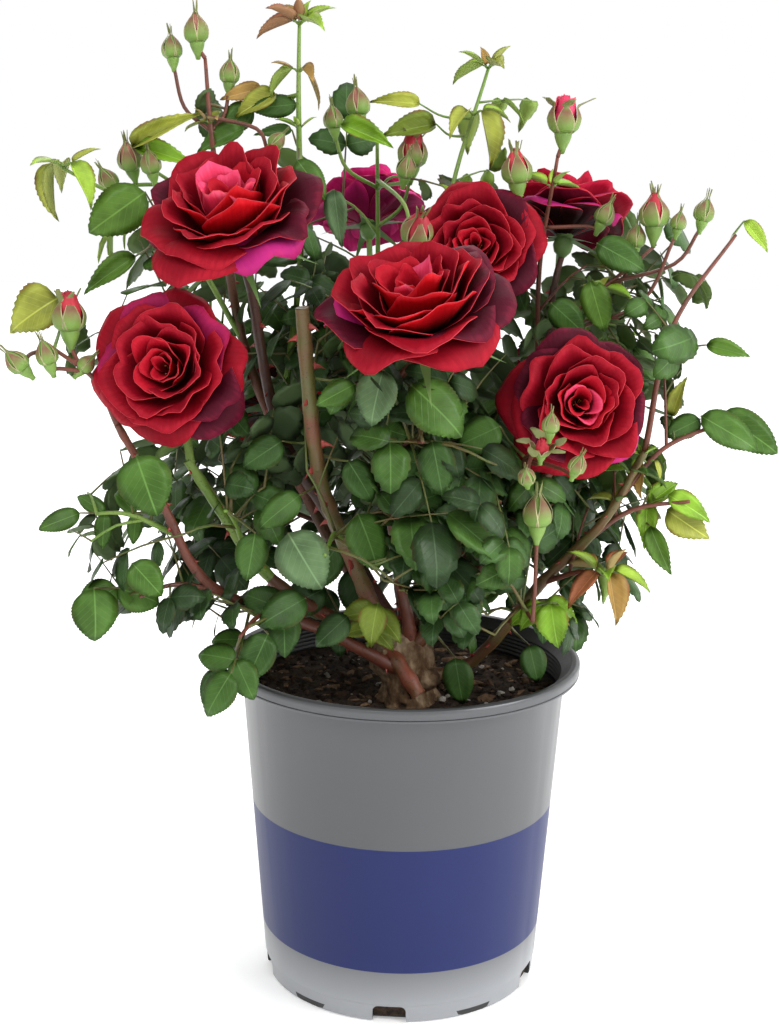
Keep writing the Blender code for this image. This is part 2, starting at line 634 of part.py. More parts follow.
def free_route(name, foot, tip, space, cane):
    """A stem's path that bows up and, where something is in its way, to one side and then another."""
    reach = (tip - foot).length
    along = (tip - foot).normalized()
    up = (Vector((0, 0, 1)) - along * along.z).normalized() if abs(along.z) < 0.98 else Vector((0, -1, 0))
    for bow in STEM_BOWS:
        for turn in range(STEM_BOW_TURNS):
            side = Matrix.Rotation(2 * math.pi * turn / STEM_BOW_TURNS, 3, along) @ up
            path = through([foot, foot.lerp(tip, 0.5) + side * (bow * reach), tip], 3)
            radii = tapered(STEM_FOOT_RADIUS, STEM_TIP_RADIUS, len(path))
            if space.is_free(sweep(path, radii, STEM_SIDES), but=cane):
                return path
    raise ValueError(f"{name} has no free way for its stem")


class Mass:
    """One mass of foliage, grown in two steps: first its stem and buds, then its leaves."""

    def __init__(self, name, limbs, space, finish):
        cane, share, tip, self.leaf_count, self.length, buds = MASSES[name]
        self.name, self.finish, self.space = name, finish, space
        self.chance = random.Random(name)
        self.own = Space()
        self.pieces = []
        limb = limbs[cane]
        foot, _ = limb.seat(share)
        self.path = free_route(name, foot, Vector(tip), space, cane)
        radii = tapered(STEM_FOOT_RADIUS, STEM_TIP_RADIUS, len(self.path))
        self.stem = node(name, sweep(self.path, radii, STEM_SIDES), finish)
        boolean(self.stem, "DIFFERENCE", [node("cutter", limb.mesh(CUT_MARGIN), finish)])
        keep_largest_piece(self.stem)
        self.leaf_end = LEAF_END_BELOW_BUDS if buds else LEAF_END
        for place in buds:
            self.add_bud(Vector(place))
        space.add_object(self.stem)
        for piece in self.pieces:
            space.add_bmesh(piece, name)

    def add_bud(self, place):
        """A flower bud on a thin stalk of its own, which leaves the stem below its tip."""
        start, _ = point_along(self.path, self.chance.uniform(BUD_STALK_FROM, BUD_STALK_TO))
        bend = start.lerp(place, 0.5) + Vector((0, 0, BUD_STALK_RISE * (place - start).length))
        way = (place - bend).normalized()
        stalk = sweep([start, bend, place - way * (BUD_SEAT * BUD_LENGTH)], [STALK_RADIUS] * 3, TWIG_SIDES)
        bud = bud_mesh(BUD_RADIUS, BUD_LENGTH)
        bmesh.ops.transform(bud, verts=bud.verts, matrix=facing(way, place - way * (0.5 * BUD_LENGTH)))
        if self.space.is_free(bud) and self.space.is_free(stalk) and self.own.is_free(bud):
            self.own.add_bmesh(bud)
            self.pieces += [stalk, bud]

    def free_blades(self, stalk, blades):
        """The leaflets that fit, if the stalk that carries them does."""
        if not (inside_crown(stalk) and self.space.is_free(stalk, but=self.name)):
            return []
        return [blade for blade in blades if inside_crown(blade)
                and self.space.is_free(blade, but=self.name) and self.own.is_free(without_root(blade))]

    def best_leaf(self, index):
        """Turns one compound leaf about the stem until all of it fits, or keeps the fullest try."""
        share = LEAF_START + (self.leaf_end - LEAF_START) * (index + 0.6) / self.leaf_count
        start, along = point_along(self.path, share)
        best = []
        for attempt in range(SPRAY_TRIES):
            turn = index * GOLDEN_ANGLE + self.chance.uniform(-TURN_JITTER, TURN_JITTER) + attempt * TURN_STEP
            pairs = 2 if self.chance.random() < FIVE_LEAFLET_SHARE else 1
            out = Matrix.Rotation(turn, 3, along) @ along.orthogonal().normalized()
            way = (along * LEAF_FORWARD + out + Vector((0, 0, LEAF_LIFT))).normalized()
            stalk, blades = compound_leaf(start, way, self.length, pairs)
            fitting = self.free_blades(stalk, blades)
            if len(fitting) + 1 > len(best):
                best = [stalk, *fitting]
            if len(fitting) == len(blades):
                break
        return best if len(best) > 2 else []

    def grow_leaves(self):
        """Sets the leaves round the stem at the golden angle and fuses all of the mass into one body."""
        for index in range(self.leaf_count):
            leaf = self.best_leaf(index)
            for piece in leaf:
                self.own.add_bmesh(piece)
            self.pieces += leaf
        if self.pieces:
            boolean(self.stem, "UNION", [node("piece", piece, self.finish) for piece in self.pieces])
        keep_largest_piece(self.stem)
        self.space.add_object(self.stem)


def main():
    clear_scene()
    pot_plastic = material("silver_grey_plastic", (0.42, 0.43, 0.44), 0.35)
    potting_mix = material("potting_mix", (0.030, 0.020, 0.014), 0.95)
    bark = material("rose_bark", (0.22, 0.15, 0.09), 0.85)
    cane_skin = material("cane_skin", (0.16, 0.08, 0.04), 0.55)
    petals = material("crimson_petals", (0.30, 0.008, 0.016), 0.60)
    leaves = material("rose_leaves", (0.045, 0.12, 0.030), 0.50)

    space = Space()
    for made in (make_pot(pot_plastic), make_soil(potting_mix), node("trunk", trunk_mesh(), bark)):
        space.add_object(made)
    limbs = make_canes(cane_skin, bark)
    for name in limbs:
        space.add_object(bpy.data.objects[name])
    for head in make_blooms(limbs, petals):
        space.add_object(head)
    masses = [Mass(name, limbs, space, leaves) for name in MASSES]
    for mass in masses:
        mass.grow_leaves()


main()
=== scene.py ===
"""Dresses a rose bush in its nursery pot: pot, potting mix, rootstock, canes, foliage, buds and blooms.

Metres, +Z up. The origin is the centre of the pot's flat underside, and -Y is the front of the bush.
"""

import math
import random

import bmesh
import bpy
import numpy as np
from bpy.props import FloatProperty, FloatVectorProperty, IntProperty, PointerProperty
from mathutils import Matrix, Vector
from mathutils.bvhtree import BVHTree


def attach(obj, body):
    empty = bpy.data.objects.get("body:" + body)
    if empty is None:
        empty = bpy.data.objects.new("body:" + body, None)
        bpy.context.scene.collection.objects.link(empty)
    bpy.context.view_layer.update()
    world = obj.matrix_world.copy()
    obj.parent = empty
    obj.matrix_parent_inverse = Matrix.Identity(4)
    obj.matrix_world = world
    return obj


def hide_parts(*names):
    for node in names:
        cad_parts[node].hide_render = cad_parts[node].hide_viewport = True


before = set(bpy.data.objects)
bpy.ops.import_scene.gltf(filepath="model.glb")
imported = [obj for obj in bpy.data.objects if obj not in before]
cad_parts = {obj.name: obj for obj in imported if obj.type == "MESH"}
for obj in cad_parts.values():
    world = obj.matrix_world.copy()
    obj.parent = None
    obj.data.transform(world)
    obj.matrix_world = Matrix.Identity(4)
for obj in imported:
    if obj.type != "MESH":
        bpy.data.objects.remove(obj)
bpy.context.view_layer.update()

bl_info = {
    "name": "Potted Rose Bush",
    "version": (1, 0, 0),
    "blender": (4, 5, 0),
    "location": "View3D > Sidebar > Rose Bush",
    "description": "Dresses a rose bush in its pot: plastic, potting mix, bark, canes, leaves and blooms",
    "category": "Object",
}

# The view from the front: where it is seen from, how far it looks down and how far it leans, its lens and its
# sensor in millimetres, and its picture's size in pixels.
VIEW_PLACE = Vector((-0.0099, -1.0, 0.515))
VIEW_PITCH, VIEW_ROLL = math.radians(12.06), math.radians(0.62)
VIEW_LENS, VIEW_SENSOR = 57.3, 36.0
PICTURE_WIDTH, PICTURE_HEIGHT = 779, 1024

# Pot: the same sizes as the solid's.
POT_HEIGHT = 0.209
POT_RIM_RADIUS = 0.1125
POT_RIM_HEIGHT = 0.0085
POT_MOUTH_RADIUS = 0.1068
POT_WALL_TOP_RADIUS = 0.1029
POT_BASE_RADIUS = 0.0880
POT_WALL = 0.0022
POT_FLOOR = 0.0030
WALL_TOP = POT_HEIGHT - POT_RIM_HEIGHT
WALL_SLOPE = (POT_WALL_TOP_RADIUS - POT_BASE_RADIUS) / WALL_TOP
FOOT_STEP_HEIGHT = 0.0110
FOOT_STEP_DEPTH = 0.0006
NOTCH_COUNT = 5
NOTCH_WIDTH = 0.0205
NOTCH_HEIGHT = 0.0105
NOTCH_DEPTH = 0.0070
NOTCH_FIRST_AZIMUTH = math.radians(-94.5)
FOOT_RELIEF_WIDTH = 0.030
FOOT_RELIEF_HEIGHT = 0.0040
FOOT_RELIEF_DEPTH = 0.0012

# Potting mix and rootstock.
SOIL_TOP = POT_HEIGHT - 0.0205
TRUNK_X, TRUNK_Y = 0.003, -0.033
TRUNK_HEIGHT = 0.045
TRUNK_RADIUS = 0.0150
TRUNK_FLARE = 0.0215
TRUNK_LEAN = Vector((-0.006, 0.002, 0.0))
CLEARANCE = 0.0003

# Leaves and stems, by the solid's rule.
DROOP = 0.45
GOLDEN_ANGLE = math.radians(137.5)
LEAF_START = 0.30
STEM_FOOT_RADIUS = 0.0019
STEM_TIP_RADIUS = 0.0010
STALK_RADIUS = 0.0007
BUD_LENGTH = 0.021
BUD_RADIUS = 0.0062

# Each cane: foot radius, tip radius, the places that it passes, its skin, and the share where its skin
# changes to green.
CANES = {
    "cane_front_cut": (0.0050, 0.0040, [(-0.006, -0.040, 0.222), (-0.036, -0.052, 0.292),
                                        (-0.052, -0.072, 0.345), (-0.060, -0.088, 0.436)], "olive", None),
    "cane_left": (0.0050, 0.0028, [(-0.004, -0.031, 0.226), (-0.045, -0.030, 0.241),
                                   (-0.085, -0.050, 0.275), (-0.128, -0.066, 0.345)], "brown", 0.52),
    "cane_left_low": (0.0040, 0.0022, [(-0.004, -0.046, 0.213), (-0.050, -0.057, 0.241),
                                       (-0.095, -0.064, 0.258), (-0.121, -0.080, 0.281),
                                       (-0.141, -0.088, 0.326), (-0.164, -0.090, 0.369)], "red", None),
    "cane_right": (0.0042, 0.0022, [(0.004, -0.033, 0.203), (0.043, -0.021, 0.211), (0.084, -0.040, 0.268),
                                    (0.117, -0.058, 0.310), (0.139, -0.060, 0.352)], "olive", None),
    "cane_top_left": (0.0044, 0.0028, [(-0.003, -0.027, 0.230), (-0.045, -0.020, 0.300),
                                       (-0.077, -0.034, 0.360), (-0.092, -0.050, 0.446)], "dark", None),
    "cane_right_inner": (0.0042, 0.0026, [(0.006, -0.038, 0.224), (0.046, -0.048, 0.280),
                                          (0.092, -0.060, 0.352)], "brown", None),
    "cane_centre": (0.0040, 0.0026, [(0.004, -0.038, 0.230), (-0.008, -0.056, 0.310),
                                     (-0.008, -0.084, 0.398)], "red", None),
    "cane_back_centre": (0.0040, 0.0024, [(0.005, -0.026, 0.228), (0.018, 0.000, 0.330),
                                          (0.028, 0.022, 0.430)], "brown", None),
    "cane_middle_right": (0.0042, 0.0024, [(0.008, -0.031, 0.224), (0.050, -0.008, 0.300),
                                           (0.086, 0.026, 0.390), (0.092, 0.038, 0.440)], "dark", None),
    "cane_upper_left": (0.0040, 0.0024, [(-0.004, -0.022, 0.220), (-0.058, 0.010, 0.300),
                                         (-0.100, 0.010, 0.400), (-0.114, 0.002, 0.490)], "brown", None),
    "cane_back": (0.0040, 0.0024, [(0.001, -0.020, 0.226), (-0.010, 0.035, 0.310),
                                   (-0.024, 0.096, 0.436)], "brown", None),
    "cane_back_left": (0.0038, 0.0026, [(-0.003, -0.018, 0.214), (-0.050, 0.045, 0.280),
                                        (-0.080, 0.086, 0.334)], "olive", None),
    "cane_back_right": (0.0038, 0.0026, [(0.006, -0.018, 0.214), (0.052, 0.034, 0.270),
                                         (0.096, 0.086, 0.342)], "red", None),
}
# The shoot that grows from a cane: its radii, that cane and the share of it, its places and its skin.
TALL_SHOOT = ("cane_tall", 0.0022, 0.0015, "cane_top_left", 0.62,
              [(-0.066, -0.006, 0.448), (-0.066, 0.000, 0.505)], "green")

# Each bloom: its cane, its centre, the way it faces, its radius, its turn, its pink heart petals, how far its
# heart stands up and the tone of its guard petals.
BLOOMS = {
    "bloom_top_left": ("cane_top_left", (-0.100, -0.080, 0.487), (-0.12, -0.52, 0.84), 0.051, 0.4, 5, 1.10,
                       "maroon"),
    "bloom_left": ("cane_left", (-0.134, -0.100, 0.403), (-0.22, -0.93, 0.26), 0.044, 2.1, 0, 0.90,
                   "magenta"),
    "bloom_centre": ("cane_centre", (0.003, -0.130, 0.441), (-0.16, -0.48, 0.86), 0.051, 4.0, 2, 1.10,
                     "maroon"),
    "bloom_middle": ("cane_back_centre", (0.040, -0.010, 0.467), (-0.12, -0.95, 0.28), 0.040, 1.2, 0, 0.90,
                     "crimson"),
    "bloom_back_right": ("cane_middle_right", (0.100, 0.050, 0.485), (0.10, 0.30, 0.95), 0.042, 3.3, 1, 1.15,
                         "plum"),
    "bloom_right": ("cane_right_inner", (0.097, -0.082, 0.383), (0.05, -0.96, 0.26), 0.042, 5.2, 3, 0.90,
                    "maroon"),
    "bloom_back": ("cane_back", (-0.028, 0.120, 0.486), (-0.10, 0.55, 0.83), 0.038, 0.9, 1, 1.05, "rose"),
    "bloom_rear_left": ("cane_back_left", (-0.100, 0.122, 0.360), (-0.45, 0.75, 0.48), 0.045, 2.7, 1, 0.95,
                        "magenta"),
    "bloom_rear_right": ("cane_back_right", (0.116, 0.122, 0.366), (0.42, 0.78, 0.46), 0.045, 4.6, 2, 0.95,
                         "maroon"),
}

# Each mass of foliage: the cane that it grows on and where along it, the tip of its stem, how many compound
# leaves its stem carries, how many side twigs, its leaflets' length, its leaf colour, its stem's colour, and
# its buds and their kinds.
MASSES = {
    "foliage_crown_tip": ("cane_tall", 1.0, (-0.066, 0.000, 0.604), 0, 0, 0.026, "bronze", "green", []),
    "foliage_crown_left": ("cane_upper_left", 1.0, (-0.122, 0.000, 0.575), 1, 0, 0.034, "mid", "red",
                           [((-0.127, 0.000, 0.590), "showing"), ((-0.142, 0.004, 0.580), "green"),
                            ((-0.108, 0.004, 0.566), "green"), ((-0.079, -0.016, 0.527), "small")]),
    "foliage_left_shoot": ("cane_upper_left", 0.72, (-0.205, -0.030, 0.512), 1, 0, 0.034, "young", "green",
                           []),
    "foliage_left_upper": ("cane_upper_left", 0.88, (-0.160, 0.020, 0.512), 2, 0, 0.038, "young", "green",
                           [((-0.168, 0.000, 0.516), "showing"), ((-0.181, 0.000, 0.503), "green"),
                            ((-0.154, -0.010, 0.513), "green")]),
    "foliage_left_buds": ("cane_left_low", 1.0, (-0.198, -0.092, 0.412), 2, 1, 0.036, "mid", "red",
                          [((-0.217, -0.100, 0.405), "green"), ((-0.201, -0.098, 0.409), "green"),
                           ((-0.190, -0.088, 0.429), "opening"), ((-0.181, -0.090, 0.403), "small")]),
    "foliage_left_spray": ("cane_left_low", 0.70, (-0.196, -0.076, 0.312), 4, 2, 0.034, "mid", "green", []),
    "foliage_left_low": ("cane_left_low", 0.52, (-0.160, -0.102, 0.268), 4, 2, 0.038, "dark", "red", []),
    "foliage_front_left_low": ("cane_left_low", 0.34, (-0.096, -0.116, 0.250), 4, 3, 0.036, "dark", "red",
                               []),
    "foliage_front_left": ("cane_left", 0.66, (-0.108, -0.118, 0.326), 7, 4, 0.040, "dark", "green", []),
    "foliage_front_middle_left": ("cane_front_cut", 0.36, (-0.046, -0.116, 0.300), 8, 5, 0.040, "dark",
                                  "green", []),
    "foliage_front_centre": ("cane_centre", 0.66, (0.008, -0.118, 0.366), 9, 5, 0.040, "dark", "red", []),
    "foliage_front_low": ("cane_centre", 0.20, (-0.004, -0.104, 0.276), 8, 5, 0.036, "dark", "red", []),
    "foliage_front_right_low": ("cane_right", 0.36, (0.072, -0.108, 0.262), 6, 4, 0.036, "dark", "red",
                                [((0.073, -0.108, 0.324), "large")]),
    "foliage_right_low": ("cane_right", 0.52, (0.134, -0.086, 0.276), 4, 2, 0.036, "mid", "red", []),
    "foliage_right_middle": ("cane_right", 0.68, (0.170, -0.056, 0.322), 3, 2, 0.036, "lime", "red", []),
    "foliage_right_far": ("cane_right", 0.84, (0.190, -0.044, 0.368), 2, 1, 0.036, "mid", "red", []),
    "foliage_right_arch": ("cane_right", 1.0, (0.194, -0.030, 0.480), 3, 1, 0.024, "mid", "red", []),
    "foliage_right_buds": ("cane_middle_right", 0.55, (0.149, 0.000, 0.468), 3, 1, 0.034, "mid", "red",
                           [((0.148, 0.000, 0.487), "budding"), ((0.162, -0.004, 0.482), "small"),
                            ((0.178, 0.000, 0.488), "green"), ((0.138, 0.004, 0.472), "green")]),
    "foliage_middle_right": ("cane_right_inner", 0.55, (0.052, -0.108, 0.332), 9, 5, 0.038, "dark", "red",
                             []),
    "foliage_bloom_buds": ("cane_right_inner", 0.80, (0.070, -0.124, 0.362), 3, 1, 0.034, "dark", "red",
                           [((0.076, -0.136, 0.379), "small"), ((0.064, -0.134, 0.350), "small"),
                            ((0.072, -0.132, 0.365), "spent"), ((0.091, -0.136, 0.357), "small")]),
    "foliage_centre_top": ("cane_back_centre", 0.80, (0.049, 0.050, 0.575), 2, 0, 0.034, "young", "green",
                           []),
    "foliage_top_middle": ("cane_back", 0.80, (-0.020, 0.030, 0.530), 4, 2, 0.034, "mid", "green",
                           [((-0.032, 0.030, 0.550), "showing"), ((0.002, 0.036, 0.521), "opening"),
                            ((-0.047, 0.030, 0.541), "green"), ((-0.002, 0.018, 0.512), "green"),
                            ((0.004, -0.056, 0.478), "budding")]),
    "foliage_top_right": ("cane_middle_right", 0.74, (0.088, -0.006, 0.520), 4, 2, 0.032, "mid", "red",
                          [((0.091, -0.006, 0.541), "pink"), ((0.064, -0.002, 0.512), "budding"),
                           ((0.120, 0.016, 0.485), "green")]),
    "foliage_inner_left": ("cane_top_left", 0.60, (-0.045, -0.010, 0.420), 8, 5, 0.036, "dark", "red", []),
    "foliage_inner_right": ("cane_middle_right", 0.40, (0.090, -0.020, 0.345), 9, 5, 0.036, "dark", "red",
                            []),
    "foliage_inner_low": ("cane_back_centre", 0.25, (0.030, 0.060, 0.290), 9, 5, 0.036, "dark", "red", []),
    "foliage_rear_left_low": ("cane_back_left", 0.60, (-0.138, 0.078, 0.280), 8, 5, 0.040, "dark", "red", []),
    "foliage_rear_left_high": ("cane_upper_left", 0.50, (-0.148, 0.090, 0.430), 7, 3, 0.040, "mid", "green",
                               []),
    "foliage_rear_low": ("cane_back", 0.40, (-0.026, 0.140, 0.292), 8, 5, 0.040, "dark", "red", []),
    "foliage_rear_high": ("cane_back", 0.72, (0.036, 0.140, 0.430), 7, 4, 0.040, "mid", "green", []),
    "foliage_rear_right_low": ("cane_back_right", 0.60, (0.136, 0.078, 0.276), 8, 5, 0.040, "dark", "red",
                               []),
    "foliage_rear_right_high": ("cane_middle_right", 0.66, (0.160, 0.090, 0.430), 7, 3, 0.040, "mid",
                                "green", []),
}

# The leaves that stand out: where the root of each one's end leaflet shows in the front view, in pixels, and
# its depth along Y, then the end leaflet's length, the way it points (degrees turned up from the right), its
# pairs of side leaflets, its tone and how broad it is for its length.
STANDING_LEAVES = {
    "below_left_bloom": ((136, 456), -0.118, 0.035, -70, 0, "mid_b", 1.05),
    "behind_cut_cane": ((282, 441), -0.080, 0.027, 213, 0, "dark_c", 0.85),
    "left_round": ((94, 588), -0.100, 0.031, -85, 1, "mid_b", 1.05),
    "left_round_inner": ((132, 563), -0.105, 0.025, -45, 0, "mid_b", 0.95),
    "left_spray_end": ((80, 513), -0.070, 0.026, 200, 2, "mid_b", 0.62),
    "left_of_cut_cane": ((255, 533), -0.100, 0.028, 262, 0, "mid_a", 0.82),
    "beside_cut_cane": ((288, 533), -0.110, 0.037, -58, 0, "pale", 1.00),
    "across_cut_cane": ((300, 495), -0.095, 0.030, 217, 0, "mid_a", 0.72),
    "over_left_rim": ((231, 673), -0.118, 0.029, 237, 2, "mid_a", 0.85),
    "below_centre_bloom": ((383, 370), -0.122, 0.031, 256, 0, "pale", 0.92),
    "right_of_centre_bloom": ((411, 385), -0.124, 0.039, -39, 0, "mid_b", 0.92),
    "left_of_centre_bloom": ((355, 384), -0.115, 0.024, 208, 0, "mid_b", 0.70),
    "left_of_right_bloom": ((500, 426), -0.090, 0.027, 205, 0, "mid_a", 1.00),
    "middle_hanging": ((432, 441), -0.112, 0.031, -77, 0, "dark_c", 0.82),
    "middle_inner": ((348, 461), -0.090, 0.027, -55, 0, "dark_c", 0.80),
    "middle_low": ((358, 514), -0.102, 0.034, -65, 0, "mid_a", 0.92),
    "olive_trio": ((378, 603), -0.086, 0.027, 257, 2, "olive", 0.88),
    "beside_cane_tip": ((345, 378), -0.098, 0.022, 250, 0, "mid_a", 0.85),
    "over_low_cane": ((306, 598), -0.088, 0.032, 208, 1, "dark_c", 0.85),
    "below_low_cane": ((348, 616), -0.080, 0.026, 222, 0, "dark_b", 0.85),
    "inside_left_rim": ((268, 634), -0.100, 0.030, 245, 0, "dark_c", 0.85),
    "left_of_rim": ((226, 668), -0.092, 0.026, 240, 0, "dark_b", 0.85),
    "lime_trio": ((551, 603), -0.092, 0.027, -83, 2, "lime", 1.00),
    "right_low_dark": ((529, 645), -0.040, 0.024, -75, 0, "dark_c", 0.85),
    "beside_rootstock": ((455, 658), -0.052, 0.029, -80, 0, "dark_c", 0.80),
    "far_right_upper": ((722, 413), -0.040, 0.041, -34, 0, "mid_b", 0.66),
    "far_right_lower": ((701, 416), -0.046, 0.039, -28, 0, "mid_b", 0.64),
    "far_right_inner": ((700, 419), -0.044, 0.023, 206, 0, "mid_a", 0.80),
    "right_lime_leaf": ((668, 495), -0.052, 0.030, -27, 1, "young_a", 0.70),
    "right_lime_lower": ((667, 510), -0.048, 0.031, -34, 0, "young_c", 0.90),
    "right_hanging": ((650, 526), -0.052, 0.033, -68, 0, "mid_c", 0.55),
    "right_upright": ((672, 416), -0.044, 0.024, 79, 0, "young_c", 0.60),
    "arch_end": ((744, 221), -0.030, 0.023, -48, 0, "young_b", 0.55),
    "arch_foot": ((706, 345), -0.034, 0.027, -13, 0, "mid_c", 0.55),
    "above_right_bloom": ((597, 243), -0.006, 0.033, -27, 0, "mid_a", 0.75),
    "behind_right_bloom": ((590, 281), -0.004, 0.032, -73, 0, "mid_c", 0.70),
    "between_blooms": ((551, 303), -0.010, 0.027, -40, 0, "mid_a", 0.85),
    "top_left_olive": ((132, 147), -0.004, 0.048, 26, 0, "young_c", 0.34),
    "top_left_lime": ((135, 146), -0.004, 0.037, -14, 0, "lime", 0.50),
    "left_shoot_leaf": ((145, 192), -0.020, 0.041, 216, 0, "mid_c", 0.85),
    "left_narrow": ((136, 256), -0.040, 0.038, 212, 0, "mid_c", 0.50),
    "far_left": ((58, 298), -0.070, 0.034, 210, 0, "young_c", 1.15),
    "top_lime": ((341, 124), 0.022, 0.035, -22, 0, "lime", 0.55),
    "top_folded": ((420, 104), 0.032, 0.031, 174, 0, "young_c", 0.45),
    "top_olive": ((436, 124), 0.034, 0.035, 190, 0, "olive", 0.62),
    "tall_shoot_left": ((292, 130), -0.002, 0.023, 186, 0, "mid_a", 0.50),
    "tall_shoot_low": ((297, 104), 0.000, 0.028, 187, 0, "mid_a", 0.62),
    "tall_shoot_olive": ((276, 94), 0.000, 0.028, 204, 0, "young_c", 0.70),
    "tall_shoot_bronze": ((262, 88), 0.004, 0.026, 195, 0, "bronze_a", 0.60),
    "above_bloom_round": ((250, 104), 0.004, 0.024, 229, 0, "mid_b", 0.85),
    "behind_canes_upper": ((338, 545), -0.030, 0.034, 235, 0, "dark_c", 0.85),
    "behind_canes_middle": ((352, 568), -0.022, 0.034, -75, 0, "dark_b", 0.85),
    "behind_canes_lower": ((326, 588), -0.030, 0.034, 205, 1, "dark_b", 0.85),
    "above_left_bloom": ((244, 128), -0.004, 0.032, 203, 0, "mid_b", 0.60),
    "right_of_left_bloom": ((297, 160), -0.052, 0.027, -51, 0, "mid_b", 0.70),
    "upper_hanging": ((334, 190), -0.040, 0.033, -82, 0, "pale", 0.58),
}
# How far they lean to the front.
STANDING_LEAN = 0.2

# The tufts of young leaves on a shoot: their mass or cane and the share of it where they stand, how many
# leaves, the longest one's length, the first one's turn and the first and last one's rise, in degrees, and
# the tones that they are dealt. The short, low ones are stipules.
TUFTS = {
    "crown_tip": ("foliage_crown_tip", 0.90, 8, 0.025, 165, (-15, 78), ("bronze_b", "young_b", "bronze_a")),
    "below_crown_tip": ("foliage_crown_tip", 0.62, 5, 0.025, 20, (-60, 20), ("bronze_a", "young_b")),
    "crown_stipules": ("foliage_crown_tip", 0.30, 4, 0.013, 200, (30, 65), ("young_a", "young_b")),
    "centre_tip": ("foliage_centre_top", 0.99, 6, 0.024, 150, (-20, 75), ("young_b", "young_c", "bronze_a")),
    "centre_pair": ("foliage_centre_top", 0.82, 4, 0.036, -40, (-72, -5), ("young_c", "young_b")),
    "centre_stipules": ("foliage_centre_top", 0.55, 3, 0.011, 10, (35, 65), ("young_a", "young_b")),
    "left_shoot_tip": ("foliage_left_shoot", 0.98, 5, 0.034, 190, (-85, 35), ("young_c", "young_b")),
    "bronze_shoot": ("foliage_right_low", 0.66, 9, 0.032, -60, (-70, 65),
                     ("bronze_a", "young_a", "bronze_b", "young_b")),
    "bud_stipules": ("foliage_top_right", 0.86, 4, 0.020, 30, (0, 70), ("young_a", "young_b")),
    "arch_tip": ("cane_right", 0.985, 3, 0.012, 200, (20, 70), ("young_b", "young_a")),
    "arch_leaves": ("cane_right", 0.93, 5, 0.022, 10, (-20, 50), ("mid_b", "young_a")),
    "arch_stipules": ("cane_right", 0.84, 3, 0.016, 150, (10, 60), ("young_c", "mid_b")),
    "right_bud_leaves": ("foliage_right_buds", 0.72, 4, 0.020, -20, (-10, 55), ("young_a", "young_c")),
    "crown_bud_leaves": ("foliage_crown_left", 0.55, 4, 0.018, 150, (-10, 60), ("young_c", "bronze_a")),
    "far_right_pair": ("foliage_right_far", 0.35, 2, 0.024, 200, (-85, -65), ("bronze_a", "young_c")),
}
# How broad a tuft's leaves are for their length, and how much shorter its last one is.
TUFT_BREADTH, TUFT_SHRINK = 0.46, 0.45

# How far the crown's other leaves reach to the left and to the right at each height.
CROWN_OUTLINE = [(0.228, -0.150, 0.112), (0.262, -0.188, 0.140), (0.300, -0.205, 0.172),
                 (0.335, -0.192, 0.162), (0.380, -0.196, 0.168), (0.425, -0.214, 0.184),
                 (0.490, -0.210, 0.176), (0.515, -0.190, 0.118), (0.540, -0.150, 0.098),
                 (0.570, -0.132, 0.074), (0.620, -0.090, -0.040)]
CROWN_FRONT, CROWN_BACK = -0.150, 0.172
# The height that leaves outside the pot keep above.
LOWEST_LEAF = 0.236

# The canes that stay in sight from the front: from which share of its length on, and half its lane's width.
CANES_IN_SIGHT = {"cane_front_cut": (0.0, 0.012), "cane_left": (0.35, 0.007), "cane_left_low": (0.58, 0.007),
                  "cane_right": (0.15, 0.007)}

# How many leaves and twigs a mass carries here for each of the solid's, by its leaf colour.
FULLNESS = {"dark": 1.6, "mid": 1.3, "young": 1.5}

# How much larger than the usual the thorns of a cane are.
THORN_GROWTH = {"cane_front_cut": 1.55, "cane_top_left": 1.2}

# Which tones each leaf colour deals out, and the tones that make up each piece of leaves.
LEAF_TONES = {
    "dark": ["dark_a", "dark_b", "dark_b", "dark_c", "mid_a"],
    "mid": ["dark_c", "mid_a", "mid_b", "mid_b", "mid_c"],
    "lime": ["mid_c", "lime", "young_a", "olive"],
    "young": ["young_a", "young_b", "lime", "young_c", "mid_c"],
    "bronze": ["young_c", "bronze_a", "bronze_b"],
}
LEAF_PIECES = {
    "dark": ["dark_a", "dark_b", "dark_c"],
    "mid": ["mid_a", "mid_b", "mid_c", "pale"],
    "young": ["lime", "olive", "young_a", "young_b", "young_c", "bronze_a", "bronze_b"],
}
# The upper and the lower face of each tone.
LEAF_COLOURS = {
    "dark_a": ((0.017, 0.043, 0.009), (0.055, 0.092, 0.034)),
    "dark_b": ((0.025, 0.064, 0.012), (0.068, 0.110, 0.040)),
    "dark_c": ((0.036, 0.090, 0.015), (0.085, 0.136, 0.046)),
    "mid_a": ((0.040, 0.100, 0.012), (0.090, 0.150, 0.045)),
    "mid_b": ((0.052, 0.125, 0.013), (0.105, 0.172, 0.046)),
    "mid_c": ((0.078, 0.166, 0.016), (0.135, 0.215, 0.054)),
    # pale is a greyed green that stands for the sheen on leaves facing the light: a painted sheen.
    "pale": ((0.080, 0.142, 0.056), (0.135, 0.200, 0.090)),
    "lime": ((0.150, 0.290, 0.014), (0.195, 0.320, 0.050)),
    "olive": ((0.130, 0.180, 0.016), (0.185, 0.230, 0.048)),
    "young_a": ((0.200, 0.370, 0.024), (0.250, 0.390, 0.075)),
    "young_b": ((0.280, 0.430, 0.040), (0.320, 0.450, 0.095)),
    "young_c": ((0.300, 0.330, 0.045), (0.330, 0.370, 0.090)),
    "bronze_a": ((0.330, 0.200, 0.050), (0.360, 0.260, 0.100)),
    "bronze_b": ((0.330, 0.110, 0.045), (0.380, 0.200, 0.100)),
}
